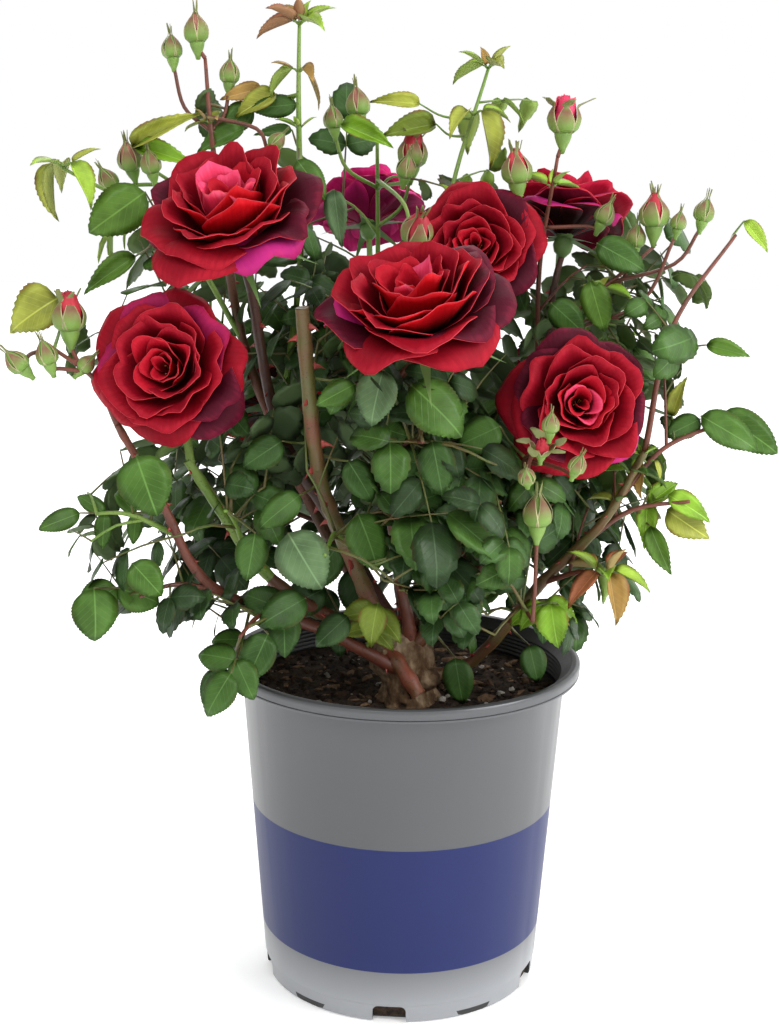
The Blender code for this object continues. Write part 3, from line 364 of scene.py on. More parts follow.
# The skin and the blush of each kind of cane or stem.
CANE_COLOURS = {
    "olive": ((0.100, 0.092, 0.022), (0.165, 0.055, 0.028)),
    "brown": ((0.085, 0.042, 0.018), (0.140, 0.045, 0.022)),
    "red": ((0.105, 0.032, 0.017), (0.170, 0.045, 0.026)),
    "dark": ((0.045, 0.024, 0.014), (0.085, 0.026, 0.017)),
    "green": ((0.130, 0.240, 0.030), (0.180, 0.270, 0.050)),
    "stalk": ((0.090, 0.130, 0.026), (0.120, 0.075, 0.026)),
}


# ---------------------------------------------------------------------------------------------------------
# Materials


# The sockets of a mix node for colours.
MIX_FIRST, MIX_SECOND, MIX_RESULT = 6, 7, 2

# How many veins a leaflet has from end to end, how far they slant, and how pale its veins and midrib are.
VEINS, VEIN_SLANT = 8.0, 6.0
VEIN_PALENESS, RIB_PALENESS = 0.28, 0.75
MARGIN_COLOUR = (0.26, 0.07, 0.03)

# How many streaks a petal has across and along it.
STREAKS_ACROSS, STREAKS_ALONG = 26.0, 2.5


def scaled(colour, factor, lift=0.0):
    """A colour made lighter or darker."""
    return tuple(min(1.0, value * factor + lift) for value in colour)


class Finish:
    """A procedural material under construction: a Principled shader and the nodes that feed it."""

    def __init__(self, name, colour, roughness, **sockets):
        self.material = bpy.data.materials.new(name)
        self.material.use_nodes = True
        self.tree = self.material.node_tree
        self.shader = self.tree.nodes["Principled BSDF"]
        self.set("Base Color", (*colour, 1.0))
        self.set("Roughness", roughness)
        for socket, value in sockets.items():
            self.set(socket.replace("_", " "), value)
        self.place = self.add("ShaderNodeTexCoord").outputs["Object"]

    def set(self, socket, value):
        if isinstance(value, bpy.types.NodeSocket):
            self.tree.links.new(value, self.shader.inputs[socket])
        else:
            self.shader.inputs[socket].default_value = value

    def add(self, kind, inputs=None, **settings):
        made = self.tree.nodes.new(kind)
        for name, value in settings.items():
            setattr(made, name, value)
        for name, value in (inputs or {}).items():
            if isinstance(value, bpy.types.NodeSocket):
                self.tree.links.new(value, made.inputs[name])
            else:
                made.inputs[name].default_value = value
        return made

    def noise(self, scale, detail=3.0, roughness=0.5, place=None, stretch=None):
        place = place or self.place
        if stretch:
            place = self.add("ShaderNodeMapping", {"Vector": place, "Scale": stretch}).outputs[0]
        made = self.add("ShaderNodeTexNoise", {"Vector": place, "Scale": scale, "Detail": detail,
                                               "Roughness": roughness})
        return made.outputs["Fac"]

    def math(self, operation, first, second=0.0, clamp=False):
        made = self.add("ShaderNodeMath", {0: first, 1: second}, operation=operation, use_clamp=clamp)
        return made.outputs[0]

    def spread(self, value, low, high, to_low=0.0, to_high=1.0):
        return self.add("ShaderNodeMapRange", {"Value": value, "From Min": low, "From Max": high,
                                               "To Min": to_low, "To Max": to_high}).outputs[0]

    def mix(self, share, first, second):
        made = self.add("ShaderNodeMix", {0: share}, data_type="RGBA")
        for index, value in ((MIX_FIRST, first), (MIX_SECOND, second)):
            if isinstance(value, bpy.types.NodeSocket):
                self.tree.links.new(value, made.inputs[index])
            else:
                made.inputs[index].default_value = (*value, 1.0)
        return made.outputs[MIX_RESULT]

    def ramp(self, value, stops):
        made = self.add("ShaderNodeValToRGB", {"Fac": value})
        elements = made.color_ramp.elements
        while len(elements) < len(stops):
            elements.new(0.5)
        for element, (where, colour) in zip(elements, stops):
            element.position = where
            element.color = (*colour, 1.0)
        return made.outputs["Color"]

    def bump(self, height, strength, distance):
        made = self.add("ShaderNodeBump", {"Height": height, "Strength": strength, "Distance": distance})
        self.set("Normal", made.outputs["Normal"])

    def uv(self):
        """The piece's own UV map, as its two numbers."""
        apart = self.add("ShaderNodeSeparateXYZ", {0: self.add("ShaderNodeUVMap", uv_map="UVMap").outputs[0]})
        return apart.outputs[0], apart.outputs[1]


def plastic_finish(name, colour, metallic, roughness, foot, coat, gloss=0.5):
    """Satin plastic with a faint grain, and painted light that makes it paler towards the foot."""
    made = Finish(name, colour, roughness, Metallic=metallic, Coat_Weight=coat, Coat_Roughness=0.25,
                  Specular_IOR_Level=gloss)
    cloud = made.noise(9.0, 4.0)
    skin = made.mix(cloud, scaled(colour, 0.92), scaled(colour, 1.10))
    low = made.add("ShaderNodeSeparateXYZ", {0: made.place}).outputs["Z"]
    # Painted light: near the pot's foot the skin is mixed towards a copy made paler by the factor foot.
    painted_foot_light = made.spread(low, 0.045, 0.012)
    made.set("Base Color", made.mix(painted_foot_light, skin, scaled(colour, foot)))
    grain = made.noise(900.0, 2.0)
    streak = made.noise(60.0, 3.0, stretch=(1.0, 1.0, 0.06))
    made.set("Roughness", made.spread(streak, 0.3, 0.7, roughness - 0.05, roughness + 0.07))
    made.bump(made.math("ADD", grain, streak), 0.06, 0.0004)
    return made.material


def inner_plastic_finish():
    made = Finish("inner_black_plastic", (0.016, 0.016, 0.017), 0.42)
    made.set("Base Color", made.mix(made.noise(70.0), (0.010, 0.010, 0.011), (0.030, 0.029, 0.027)))
    made.bump(made.noise(260.0, 4.0), 0.2, 0.0006)
    return made.material


def soil_finish(name, dark, light):
    made = Finish(name, dark, 0.95, Specular_IOR_Level=0.25)
    lumps = made.noise(190.0, 6.0, 0.65)
    made.set("Base Color", made.ramp(lumps, [(0.38, dark), (0.56, light), (0.72, dark)]))
    made.bump(made.noise(420.0, 6.0, 0.7), 0.8, 0.0025)
    return made.material


def bark_finish():
    made = Finish("rootstock_bark", (0.26, 0.19, 0.12), 0.9, Specular_IOR_Level=0.25)
    flakes = made.noise(85.0, 8.0, 0.62, stretch=(1.0, 1.0, 0.45))
    cells = made.add("ShaderNodeTexVoronoi", {"Vector": made.place, "Scale": 230.0}).outputs["Distance"]
    made.set("Base Color", made.ramp(flakes, [(0.30, (0.030, 0.018, 0.010)), (0.45, (0.120, 0.068, 0.034)),
                                              (0.58, (0.270, 0.185, 0.110)), (0.75, (0.400, 0.310, 0.210))]))
    made.bump(made.math("ADD", flakes, made.math("MULTIPLY", cells, 0.5)), 0.9, 0.0022)
    return made.material


def cane_finish(name, colour, blush):
    made = Finish(name, colour, 0.45, Specular_IOR_Level=0.45)
    blotch = made.spread(made.noise(55.0, 5.0), 0.36, 0.66)
    speck = made.spread(made.noise(650.0, 3.0), 0.60, 0.70)
    skin = made.mix(blotch, colour, blush)
    made.set("Base Color", made.mix(speck, skin, scaled(colour, 0.45)))
    made.set("Roughness", made.spread(blotch, 0.0, 1.0, 0.38, 0.55))
    made.bump(made.noise(480.0, 4.0), 0.35, 0.0006)
    return made.material


def leaf_finish(name, colour, margin_red):
    """A glossy upper face: a pale midrib, veins that run from it to the margin, and a clouded skin."""
    made = Finish(name, colour, 0.42, Specular_IOR_Level=0.24)
    across, along = made.uv()
    out = made.math("ABSOLUTE", made.math("SUBTRACT", across, 0.5))
    phase = made.math("SUBTRACT", made.math("MULTIPLY", along, VEINS),
                      made.math("MULTIPLY", out, VEIN_SLANT))
    wave = made.math("ABSOLUTE", made.math("SUBTRACT", made.math("FRACT", phase), 0.5))
    vein = made.math("MAXIMUM", made.spread(wave, 0.07, 0.0), 0.0)
    rib = made.math("MAXIMUM", made.spread(out, 0.022, 0.008), 0.0, clamp=True)
    patch = made.spread(made.noise(60.0, 4.0), 0.35, 0.65)
    skin = made.mix(patch, scaled(colour, 0.74), scaled(colour, 1.30, 0.008))
    pale = scaled(colour, 1.9, 0.03)
    veined = made.mix(made.math("MULTIPLY", vein, VEIN_PALENESS), skin, pale)
    ribbed = made.mix(made.math("MULTIPLY", rib, RIB_PALENESS), veined, pale)
    edge = made.spread(out, 0.40, 0.50)
    made.set("Base Color", made.mix(made.math("MULTIPLY", edge, margin_red), ribbed, MARGIN_COLOUR))
    made.set("Roughness", made.spread(made.noise(110.0, 3.0), 0.3, 0.7, 0.32, 0.52))
    made.bump(made.math("ADD", made.math("MULTIPLY", vein, -0.8), made.noise(120.0, 3.0)), 0.30, 0.0007)
    return made.material


def leaf_back_finish(name, colour):
    made = Finish(name, colour, 0.62, Specular_IOR_Level=0.30)
    made.set("Base Color", made.mix(made.noise(90.0, 4.0), scaled(colour, 0.85), colour))
    made.bump(made.noise(90.0, 3.0), 0.20, 0.0005)
    return made.material


def plain_skin(name, colour, roughness, variation=0.25, grain=300.0):
    made = Finish(name, colour, roughness, Specular_IOR_Level=0.40)
    made.set("Base Color", made.mix(made.spread(made.noise(80.0, 4.0), 0.3, 0.7),
                                    scaled(colour, 1 - variation), scaled(colour, 1 + variation)))
    made.bump(made.noise(grain, 3.0), 0.25, 0.0005)
    return made.material


def sepal_finish():
    """A bud's sepals: green where they join the hip, blushed brown and red towards their tips."""
    made = Finish("bud_sepal", (0.17, 0.29, 0.06), 0.5, Specular_IOR_Level=0.35)
    along = made.uv()[1]
    cloud = made.math("MULTIPLY", made.math("SUBTRACT", made.noise(150.0, 4.0), 0.5), 0.5)
    where = made.math("ADD", along, cloud)
    made.set("Base Color", made.ramp(where, [(0.20, (0.17, 0.29, 0.055)), (0.48, (0.19, 0.20, 0.06)),
                                             (0.72, (0.20, 0.090, 0.050)), (0.98, (0.17, 0.19, 0.06))]))
    made.bump(made.noise(500.0, 3.0), 0.3, 0.0004)
    return made.material


def petal_finish(name, foot, body, rim, sheen):
    """Velvet with fine streaks along it: painted shade makes the petal near-black at its foot, deep in the
    bloom, it has its own colour towards the rim, and a painted highlight makes the rim itself lighter.
    """
    made = Finish(name, body, 0.60, Specular_IOR_Level=0.10, Sheen_Weight=sheen, Sheen_Roughness=0.35,
                  Sheen_Tint=(*scaled(body, 1.6, 0.02), 1.0))
    across, along = made.uv()
    joined = made.add("ShaderNodeCombineXYZ", {0: made.math("MULTIPLY", across, STREAKS_ACROSS),
                                               1: made.math("MULTIPLY", along, STREAKS_ALONG)}).outputs[0]
    streak = made.noise(1.0, 4.0, place=joined)
    where = made.math("ADD", along, made.math("MULTIPLY", made.math("SUBTRACT", streak, 0.5), 0.30))
    # Painted shade: a stop darker than the body, between the petal's foot and its body.
    shade = tuple(0.42 * value + 0.3 * dark for value, dark in zip(body, foot))
    made.set("Base Color", made.ramp(where, [(0.38, foot), (0.66, shade), (0.90, body), (0.985, rim)]))
    made.bump(made.math("ADD", streak, made.noise(700.0, 2.0)), 0.25, 0.0005)
    return made.material


# ---------------------------------------------------------------------------------------------------------
# Shapes

# How finely the curve between two places is stepped: as the solid's is, for a stem and for a cane.
SOLID_STEPS, STEM_STEPS, CANE_STEPS = 3, 8, 12


def through(places, steps):
    """Points on a smooth curve through the given places: a Catmull-Rom spline, with its ends extended."""
    places = [Vector(place) for place in places]
    places = [2 * places[0] - places[1], *places, 2 * places[-1] - places[-2]]
    points = []
    for a, b, c, d in zip(places, places[1:], places[2:], places[3:]):
        for step in range(steps):
            t = step / steps
            points.append(0.5 * (2 * b + (c - a) * t + (2 * a - 5 * b + 4 * c - d) * t ** 2
                                 + (3 * b - a - 3 * c + d) * t ** 3))
    points.append(places[-2])
    return points


def length_of(path):
    return sum((b - a).length for a, b in zip(path, path[1:]))


def point_along(path, share):
    """The point at this share of a path's length, and the path's direction there."""
    lengths = [(b - a).length for a, b in zip(path, path[1:])]
    left = share * sum(lengths)
    for a, b, length in zip(path, path[1:], lengths):
        if left <= length:
            return a.lerp(b, left / length), (b - a).normalized()
        left -= length
    return path[-1].copy(), (path[-1] - path[-2]).normalized()


def cut_at(path, share):
    """The part of a path from its foot to this share of its length."""
    left = share * length_of(path)
    kept = [path[0]]
    for a, b in zip(path, path[1:]):
        left -= (b - a).length
        if left <= 0:
            break
        kept.append(b)
    return [*kept, point_along(path, share)[0]]


def tapered(first, last, count):
    return [first + (last - first) * index / (count - 1) for index in range(count)]


def around(along, turn):
    """The direction square to a stem at this turn round it."""
    return Matrix.Rotation(turn, 3, along) @ along.orthogonal().normalized()


def facing(direction, place):
    """The matrix that turns +Z to a direction and moves the origin to a place."""
    return Matrix.Translation(place) @ Vector(direction).to_track_quat("Z", "Y").to_matrix().to_4x4()


def view_turn():
    """How the front view is turned: level, then pitched down and leaned."""
    return Matrix.Rotation(math.radians(90) - VIEW_PITCH, 4, "X") @ Matrix.Rotation(VIEW_ROLL, 4, "Z")


def seen_at(pixel, depth):
    """The place at this depth along Y that the front view shows at this pixel."""
    focus = PICTURE_HEIGHT * VIEW_LENS / VIEW_SENSOR
    ray = view_turn().to_3x3() @ Vector((pixel[0] - PICTURE_WIDTH / 2, PICTURE_HEIGHT / 2 - pixel[1], -focus))
    return VIEW_PLACE + ray * ((depth - VIEW_PLACE.y) / ray.y)


def deselect_all():
    if bpy.context.mode != "OBJECT":
        bpy.ops.object.mode_set(mode="OBJECT")
    bpy.ops.object.select_all(action="DESELECT")


def make_active(piece):
    deselect_all()
    piece.select_set(True)
    bpy.context.view_layer.objects.active = piece


def apply_modifiers(piece):
    make_active(piece)
    for modifier in list(piece.modifiers):
        bpy.ops.object.modifier_apply(modifier=modifier.name)


def apply_transform():
    bpy.ops.object.transform_apply(location=True, rotation=True, scale=True)


def subtract(piece, cutter):
    """Cuts one piece out of another, and removes the cutter."""
    modifier = piece.modifiers.new("cut", "BOOLEAN")
    modifier.operation = "DIFFERENCE"
    modifier.solver = "EXACT"
    modifier.object = cutter
    apply_modifiers(piece)
    bpy.data.objects.remove(cutter)


def add_relief(piece, kind, grain, strength):
    """Raises a piece's skin by a texture of this grain, and returns the modifier."""
    texture = bpy.data.textures.new("relief", kind)
    texture.noise_scale = grain
    relief = piece.modifiers.new("relief", "DISPLACE")
    relief.texture = texture
    relief.texture_coords = "LOCAL"
    relief.strength = strength
    return relief


def dress(piece, *finishes):
    """Gives a piece these materials in place of any that it has."""
    piece.data.materials.clear()
    for finish in finishes:
        piece.data.materials.append(finish)


def put_on(piece, slot, *nodes):
    """Seats a finished piece on the plant's one body, in place of these nodes. Its slot is not used."""
    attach(piece, "root")
    if nodes:
        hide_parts(*nodes)
    return piece


class Sheaf:
    """Gathers many small shapes into one mesh: their points, faces, material numbers and UVs."""

    def __init__(self):
        self.points = []
        self.uvs = []
        self.faces = []
        self.tones = []
        self.count = 0

    def add(self, points, faces, tones, uvs=None):
        points = np.asarray(points, float)
        base = self.count
        self.points.append(points)
        self.uvs.append(np.zeros((len(points), 2)) if uvs is None else np.asarray(uvs, float))
        self.faces += [tuple(base + corner for corner in face) for face in faces]
        self.tones += [tones] * len(faces) if isinstance(tones, int) else list(tones)
        self.count += len(points)

    def build(self, name, materials, smooth=True):
        mesh = bpy.data.meshes.new(name)
        mesh.from_pydata(np.concatenate(self.points).tolist(), [], self.faces)
        for finish in materials:
            mesh.materials.append(finish)
        mesh.polygons.foreach_set("material_index", np.array(self.tones, np.int32))
        layer = mesh.uv_layers.new(name="UVMap")
        corners = np.empty(len(mesh.loops), np.int32)
        mesh.loops.foreach_get("vertex_index", corners)
        layer.data.foreach_set("uv", np.concatenate(self.uvs)[corners].astype(np.float32).ravel())
        if smooth:
            mesh.shade_smooth()
        mesh.update()
        made = bpy.data.objects.new(name, mesh)
        bpy.context.scene.collection.objects.link(made)
        return made


def unit(vectors):
    return vectors / np.maximum(np.linalg.norm(vectors, axis=-1, keepdims=True), 1e-12)


def tube(path, radii, sides):
    """Points, faces and UVs of a closed tapering tube along a path."""
    path = np.array([tuple(place) for place in path])
    ways = unit(np.gradient(path, axis=0))
    across = np.cross(ways[0], (0.0, 0.0, 1.0) if abs(ways[0][2]) < 0.9 else (1.0, 0.0, 0.0))
    angles = np.arange(sides) * (2 * math.pi / sides)
    rings = []
    for place, way, radius in zip(path, ways, radii):
        across = unit(across - way * np.dot(across, way))
        up = np.cross(way, across)
        rings.append(place + radius * (np.outer(np.cos(angles), across) + np.outer(np.sin(angles), up)))
    faces = []
    for ring in range(len(path) - 1):
        for side in range(sides):
            after = (side + 1) % sides
            faces.append((ring * sides + side, ring * sides + after, (ring + 1) * sides + after,
                          (ring + 1) * sides + side))
    faces.append(tuple(range(sides))[::-1])
    faces.append(tuple((len(path) - 1) * sides + side for side in range(sides)))
    uvs = np.array([(side / sides, ring / (len(path) - 1))
                    for ring in range(len(path)) for side in range(sides)])
    return np.concatenate(rings), faces, uvs


def turned_body(profile, segments):
    """A closed body turned about +Z from (radius, height) points between two poles on the axis."""
    angles = np.arange(segments) * (2 * math.pi / segments)
    points = [(0.0, 0.0, profile[0][1])]
    for radius, height in profile[1:-1]:
        points += [(radius * math.cos(angle), radius * math.sin(angle), height) for angle in angles]
    points.append((0.0, 0.0, profile[-1][1]))
    faces = []
    for side in range(segments):
        after = (side + 1) % segments
        faces.append((0, 1 + after, 1 + side))
        for ring in range(len(profile) - 3):
            low, high = 1 + ring * segments, 1 + (ring + 1) * segments
            faces.append((low + side, low + after, high + after, high + side))
        last = 1 + (len(profile) - 3) * segments
        faces.append((last + side, last + after, len(points) - 1))
    return np.array(points), faces


def grid_faces(rows, columns):
    """The faces of a grid of points, listed row by row."""
    return [(row * columns + column, row * columns + column + 1, (row + 1) * columns + column + 1,
             (row + 1) * columns + column) for row in range(rows - 1) for column in range(columns - 1)]


def wrapped_sheet(reach, angle, height, s, t):
    """Points, faces and UVs of a sheet about +Z: s runs across it from -1 to 1, and t up it from 0 to 1."""
    points = np.stack([reach * np.cos(angle), reach * np.sin(angle), height], axis=-1).reshape(-1, 3)
    uvs = np.stack(np.broadcast_arrays(0.5 + 0.5 * s, t + 0 * s), axis=-1).reshape(-1, 2)
    return points, grid_faces(t.size, s.size), uvs


def moved(points, matrix):
    turn = np.array(matrix.to_3x3())
    return points @ turn.T + np.array(matrix.translation)


# ---------------------------------------------------------------------------------------------------------
# Leaves

# What stays in sight besides those canes: blooms that are this near the front or this high, for this share of
# their radius; and the lanes round a bud, the front of the rim and some spots at the rootstock's foot.
HEADS_BEFORE, HEADS_ABOVE, HEAD_SHOWN = 0.06, 0.45, 0.80
BUD_LANE, RIM_LANE = 0.011, 0.009
RIM_AZIMUTHS = range(-172, -7, 5)
SPOTS_IN_SIGHT = [(TRUNK_X, TRUNK_Y - 0.012, 0.206, 0.020), (-0.010, TRUNK_Y - 0.010, 0.224, 0.012),
                  (-0.040, -0.060, SOIL_TOP, 0.022), (-0.062, -0.040, SOIL_TOP, 0.018)]

# The room that a bloom takes up for its radius, below and above its centre and to its sides, and the air that
# it keeps above it: how high, and how wide for its radius.
HEAD_BELOW, HEAD_ABOVE, HEAD_ASIDE = 0.46, 0.66, 1.08
HEAD_AIR, HEAD_AIR_ASIDE = 0.05, 0.80

# How square the crown is from above, how far its leaves keep from the pot's mouth and the mix, and how far a
# leaflet's middle and tip keep from a bud.
CROWN_SQUARENESS = 1.25
MOUTH_GAP, SOIL_GAP = 0.016, 0.012
BUD_GAP_MIDDLE, BUD_GAP_TIP = 0.014, 0.012

# How far a leaflet reaches to its sides at its middle, for its length, and at its tip, for its middle.
MIDDLE_SIZE, TIP_SHARE = 0.30, 0.2

# The bows that a stem may take for its length, as the solid's rule has them, and the step of their turns.
STEM_BOWS = (0.12, 0.20, 0.28, 0.36)
STEM_TURN = math.radians(45)

# A leaf hangs on no point of a stem before this one, prefers a stem below it, and its stem goes on a little.
FIRST_BEARING_POINT = 3
CLIMB_COST = 0.3
STEM_BEYOND_LEAF = 0.03

# A compound leaf: the spacing of its pairs for its leaflets' length, the share of leaves with two pairs, and
# the range of its size. A leaf that finds no room is turned by this angle.
PAIR_SPACING = 0.80
TWO_PAIRS = 0.62
LEAF_SIZES = (0.72, 1.0)
NEXT_TURN = math.radians(47)

# The stalks of the leaves that stand out and of the tufts: their radius at the foot and at the end. And how
# broad each fine blade is made, and the breadth below which a leaf takes the narrow one.
STANDING_STALK = (0.0011, 0.0005)
TUFT_STALK = (0.0008, 0.0005)
FINE_BREADTHS = {"narrow_fine": 0.72, "broad_fine": 0.84}
NARROW_BELOW = 0.62

# Where a stem's leaves end, below its buds or near its tip, where its twigs start and over what share they
# spread, the twigs' lengths, the size of their leaves, and the least share of a stem that is drawn.
LEAF_END_BUDS, LEAF_END_TIP = 0.80, 0.98
TWIG_START, TWIG_SPREAD = 0.20, 0.65
TWIG_LENGTHS = (0.030, 0.052)
TWIG_LEAF_SIZE = 0.84
STEM_LEAST = 0.3


# A blade: how steeply its outline leaves its foot, how far its tip may turn aside, how much its margin and
# its tip curl down, where its teeth start and over what share of its length they run, how far out the points
# of its flesh lie, and how far its lower skin lies below its upper one.
BLADE_FOOT = 0.58
BLADE_BEND = 0.06
MARGIN_CURL, TIP_CURL = 0.04, 0.06
TEETH_START, TEETH_SPREAD = 0.05, 0.90
FLESH_SHARE = 0.55
SKIN_GAP = 0.016


def leaflet_shape(width, fold, droop, chance, teeth=5, rows=2, point=0.86, tooth=0.035):
    """A serrated blade of unit length along +Y: an upper skin, and a lower one just below it."""
    half = width / 2
    widest = BLADE_FOOT / (BLADE_FOOT + point)
    full = widest ** BLADE_FOOT * (1 - widest) ** point
    bend = chance.uniform(-BLADE_BEND, BLADE_BEND)

    def reach(y):
        return half * y ** BLADE_FOOT * (1 - y) ** point / full

    def lift(x, y):
        curl = fold * abs(x) - droop * y * y - MARGIN_CURL * (abs(x) / half) ** 3
        return curl - TIP_CURL * max(0.0, y - 0.8) / 0.2

    points, uvs, faces, tones = [], [], [], []

    def put(x, y, drop=0.0):
        points.append((x + bend * y * y, y, lift(x, y) - drop))
        uvs.append((0.5 + 0.5 * x / half, y))
        return len(points) - 1

    edges = {}
    root, tip = put(0.0, 0.0), put(0.0, 1.0)
    for hand in (-1, 1):
        edges[hand] = []
        for index in range(2 * teeth):
            y = TEETH_START + TEETH_SPREAD * (index + 0.3) / (2 * teeth)
            out = reach(y) + half * ((tooth if index % 2 else -tooth) + chance.uniform(-0.4, 0.4) * tooth)
            y += 0.15 / teeth if index % 2 else -0.05 / teeth
            edges[hand].append(put(hand * out, y))
    for layer, drop in ((0, 0.0), (1, SKIN_GAP)):
        ribs = [put(0.0, (row + 1) / (rows + 1), drop) for row in range(rows)]
        for hand in (-1, 1):
            edge = edges[hand]
            flesh = [put(hand * FLESH_SHARE * reach((row + 1) / (rows + 1)), (row + 1) / (rows + 1), drop)
                     for row in range(rows)]
            made = [(root, edge[0], flesh[0]), (root, flesh[0], ribs[0]), (ribs[-1], flesh[-1], tip),
                    (flesh[-1], edge[-1], tip)]
            first = 0
            for row in range(rows):
                last = len(edge) - 1 if row == rows - 1 else round(len(edge) * (row + 1) / rows) - 1
                made += [(flesh[row], edge[spot], edge[spot + 1]) for spot in range(first, last)]
                if row < rows - 1:
                    made.append((flesh[row], edge[last], flesh[row + 1]))
                    made.append((ribs[row], flesh[row], flesh[row + 1], ribs[row + 1]))
                first = last
            faces += [face if (hand == 1) == (layer == 0) else face[::-1] for face in made]
            tones += [layer] * len(made)
    return np.array(points), faces, tones, np.array(uvs)


def leaflet_shapes():
    """The blades that leaves are dealt from: grown and young, and finer ones for those that stand out."""
    chance = random.Random("blades")
    grown = [(0.10, 0.08), (0.22, 0.14), (-0.06, 0.18), (0.30, 0.10), (0.05, 0.24), (0.16, 0.04)]
    young = [(0.55, 0.22), (0.70, 0.30), (0.40, 0.16), (0.85, 0.12)]
    return {
        "broad": [leaflet_shape(0.72 + 0.04 * (index % 3), *bends, chance)
                  for index, bends in enumerate(grown)],
        "narrow": [leaflet_shape(0.46, *bends, chance, 4, 2, 1.15) for bends in young],
        "broad_fine": [leaflet_shape(1.0, 0.6 * fold, 0.7 * droop, chance, 15, 5, 0.86, 0.018)
                       for fold, droop in grown],
        "narrow_fine": [leaflet_shape(1.0, 0.7 * fold, 0.8 * droop, chance, 10, 4, 1.15, 0.022)
                        for fold, droop in young],
    }


class Room:
    """What a new leaflet keeps clear of: blooms, buds, other leaflets and what stays in sight."""

    CELL = 0.02

    def __init__(self, limbs):
        self.heads = [(Vector(centre), Vector(way).normalized(), radius)
                      for _, centre, way, radius, *_ in BLOOMS.values()]
        self.buds = [Vector(place) for *_, buds in MASSES.values() for place, _ in buds]
        self.cells = {}
        seen = [(*centre, HEAD_SHOWN * radius) for centre, _, radius in self.heads
                if centre.y < HEADS_BEFORE or centre.z > HEADS_ABOVE]
        seen += [(*bud, BUD_LANE) for bud in self.buds]
        for name, (share, lane) in CANES_IN_SIGHT.items():
            path = limbs[name][1]
            seen += [(*place, lane) for place in path[round(share * len(path)):]]
        for turn in map(math.radians, RIM_AZIMUTHS):
            seen.append((POT_RIM_RADIUS * math.cos(turn), POT_RIM_RADIUS * math.sin(turn), POT_HEIGHT - 0.004,
                         RIM_LANE))
        self.seen = np.array(seen + SPOTS_IN_SIGHT)

    def keep_in_sight(self, place, radius):
        self.seen = np.vstack([self.seen, (*place, radius)])

    def hides(self, place, size):
        """Whether something at this place would stand before a thing that stays in sight."""
        eye = np.array(VIEW_PLACE)
        sight = self.seen[:, :3] - eye
        far = np.linalg.norm(sight, axis=1)
        sight = sight / far[:, None]
        step = np.array(place) - eye
        along = sight @ step
        aside = np.linalg.norm(step - sight * along[:, None], axis=1)
        return bool(np.any((along < far) & (aside < self.seen[:, 3] + size)))

    def key(self, place):
        return tuple(int(math.floor(value / self.CELL)) for value in place)

    def crowded(self, centre, gap):
        x, y, z = self.key(centre)
        for dx in (-1, 0, 1):
            for dy in (-1, 0, 1):
                for dz in (-1, 0, 1):
                    for other in self.cells.get((x + dx, y + dy, z + dz), ()):
                        if (other - centre).length < gap:
                            return True
        return False

    def clear_of_heads(self, place):
        for centre, way, radius in self.heads:
            step = place - centre
            height = step.dot(way)
            aside = (step - way * height).length
            if -HEAD_BELOW * radius < height < HEAD_ABOVE * radius and aside < HEAD_ASIDE * radius:
                return False
            if 0 < height < HEAD_AIR and aside < HEAD_AIR_ASIDE * radius:
                return False
        return True

    def inside(self, place):
        heights, lefts, rights = zip(*CROWN_OUTLINE)
        left, right = np.interp(place.z, heights, lefts), np.interp(place.z, heights, rights)
        across = (place.x - (left + right) / 2) / ((right - left) / 2)
        deep = place.y / (CROWN_FRONT if place.y < 0 else CROWN_BACK)
        if abs(across) > 1 or abs(deep) > 1 or across ** 2 + deep ** 2 > CROWN_SQUARENESS:
            return False
        in_mouth = place.xy.length < POT_MOUTH_RADIUS - MOUTH_GAP
        return place.z > (SOIL_TOP + SOIL_GAP if in_mouth else LOWEST_LEAF)

    def free(self, root, tip, gap):
        middle = root.lerp(tip, 0.5)
        for place in (middle, tip):
            if not self.inside(place) or not self.clear_of_heads(place):
                return False
        if any((bud - middle).length < BUD_GAP_MIDDLE or (bud - tip).length < BUD_GAP_TIP
               for bud in self.buds):
            return False
        size = MIDDLE_SIZE * (tip - root).length
        return not (self.crowded(middle, gap) or self.hides(middle, size)
                    or self.hides(tip, TIP_SHARE * size))

    def take(self, root, tip):
        middle = root.lerp(tip, 0.5)
        self.cells.setdefault(self.key(middle), []).append(middle)


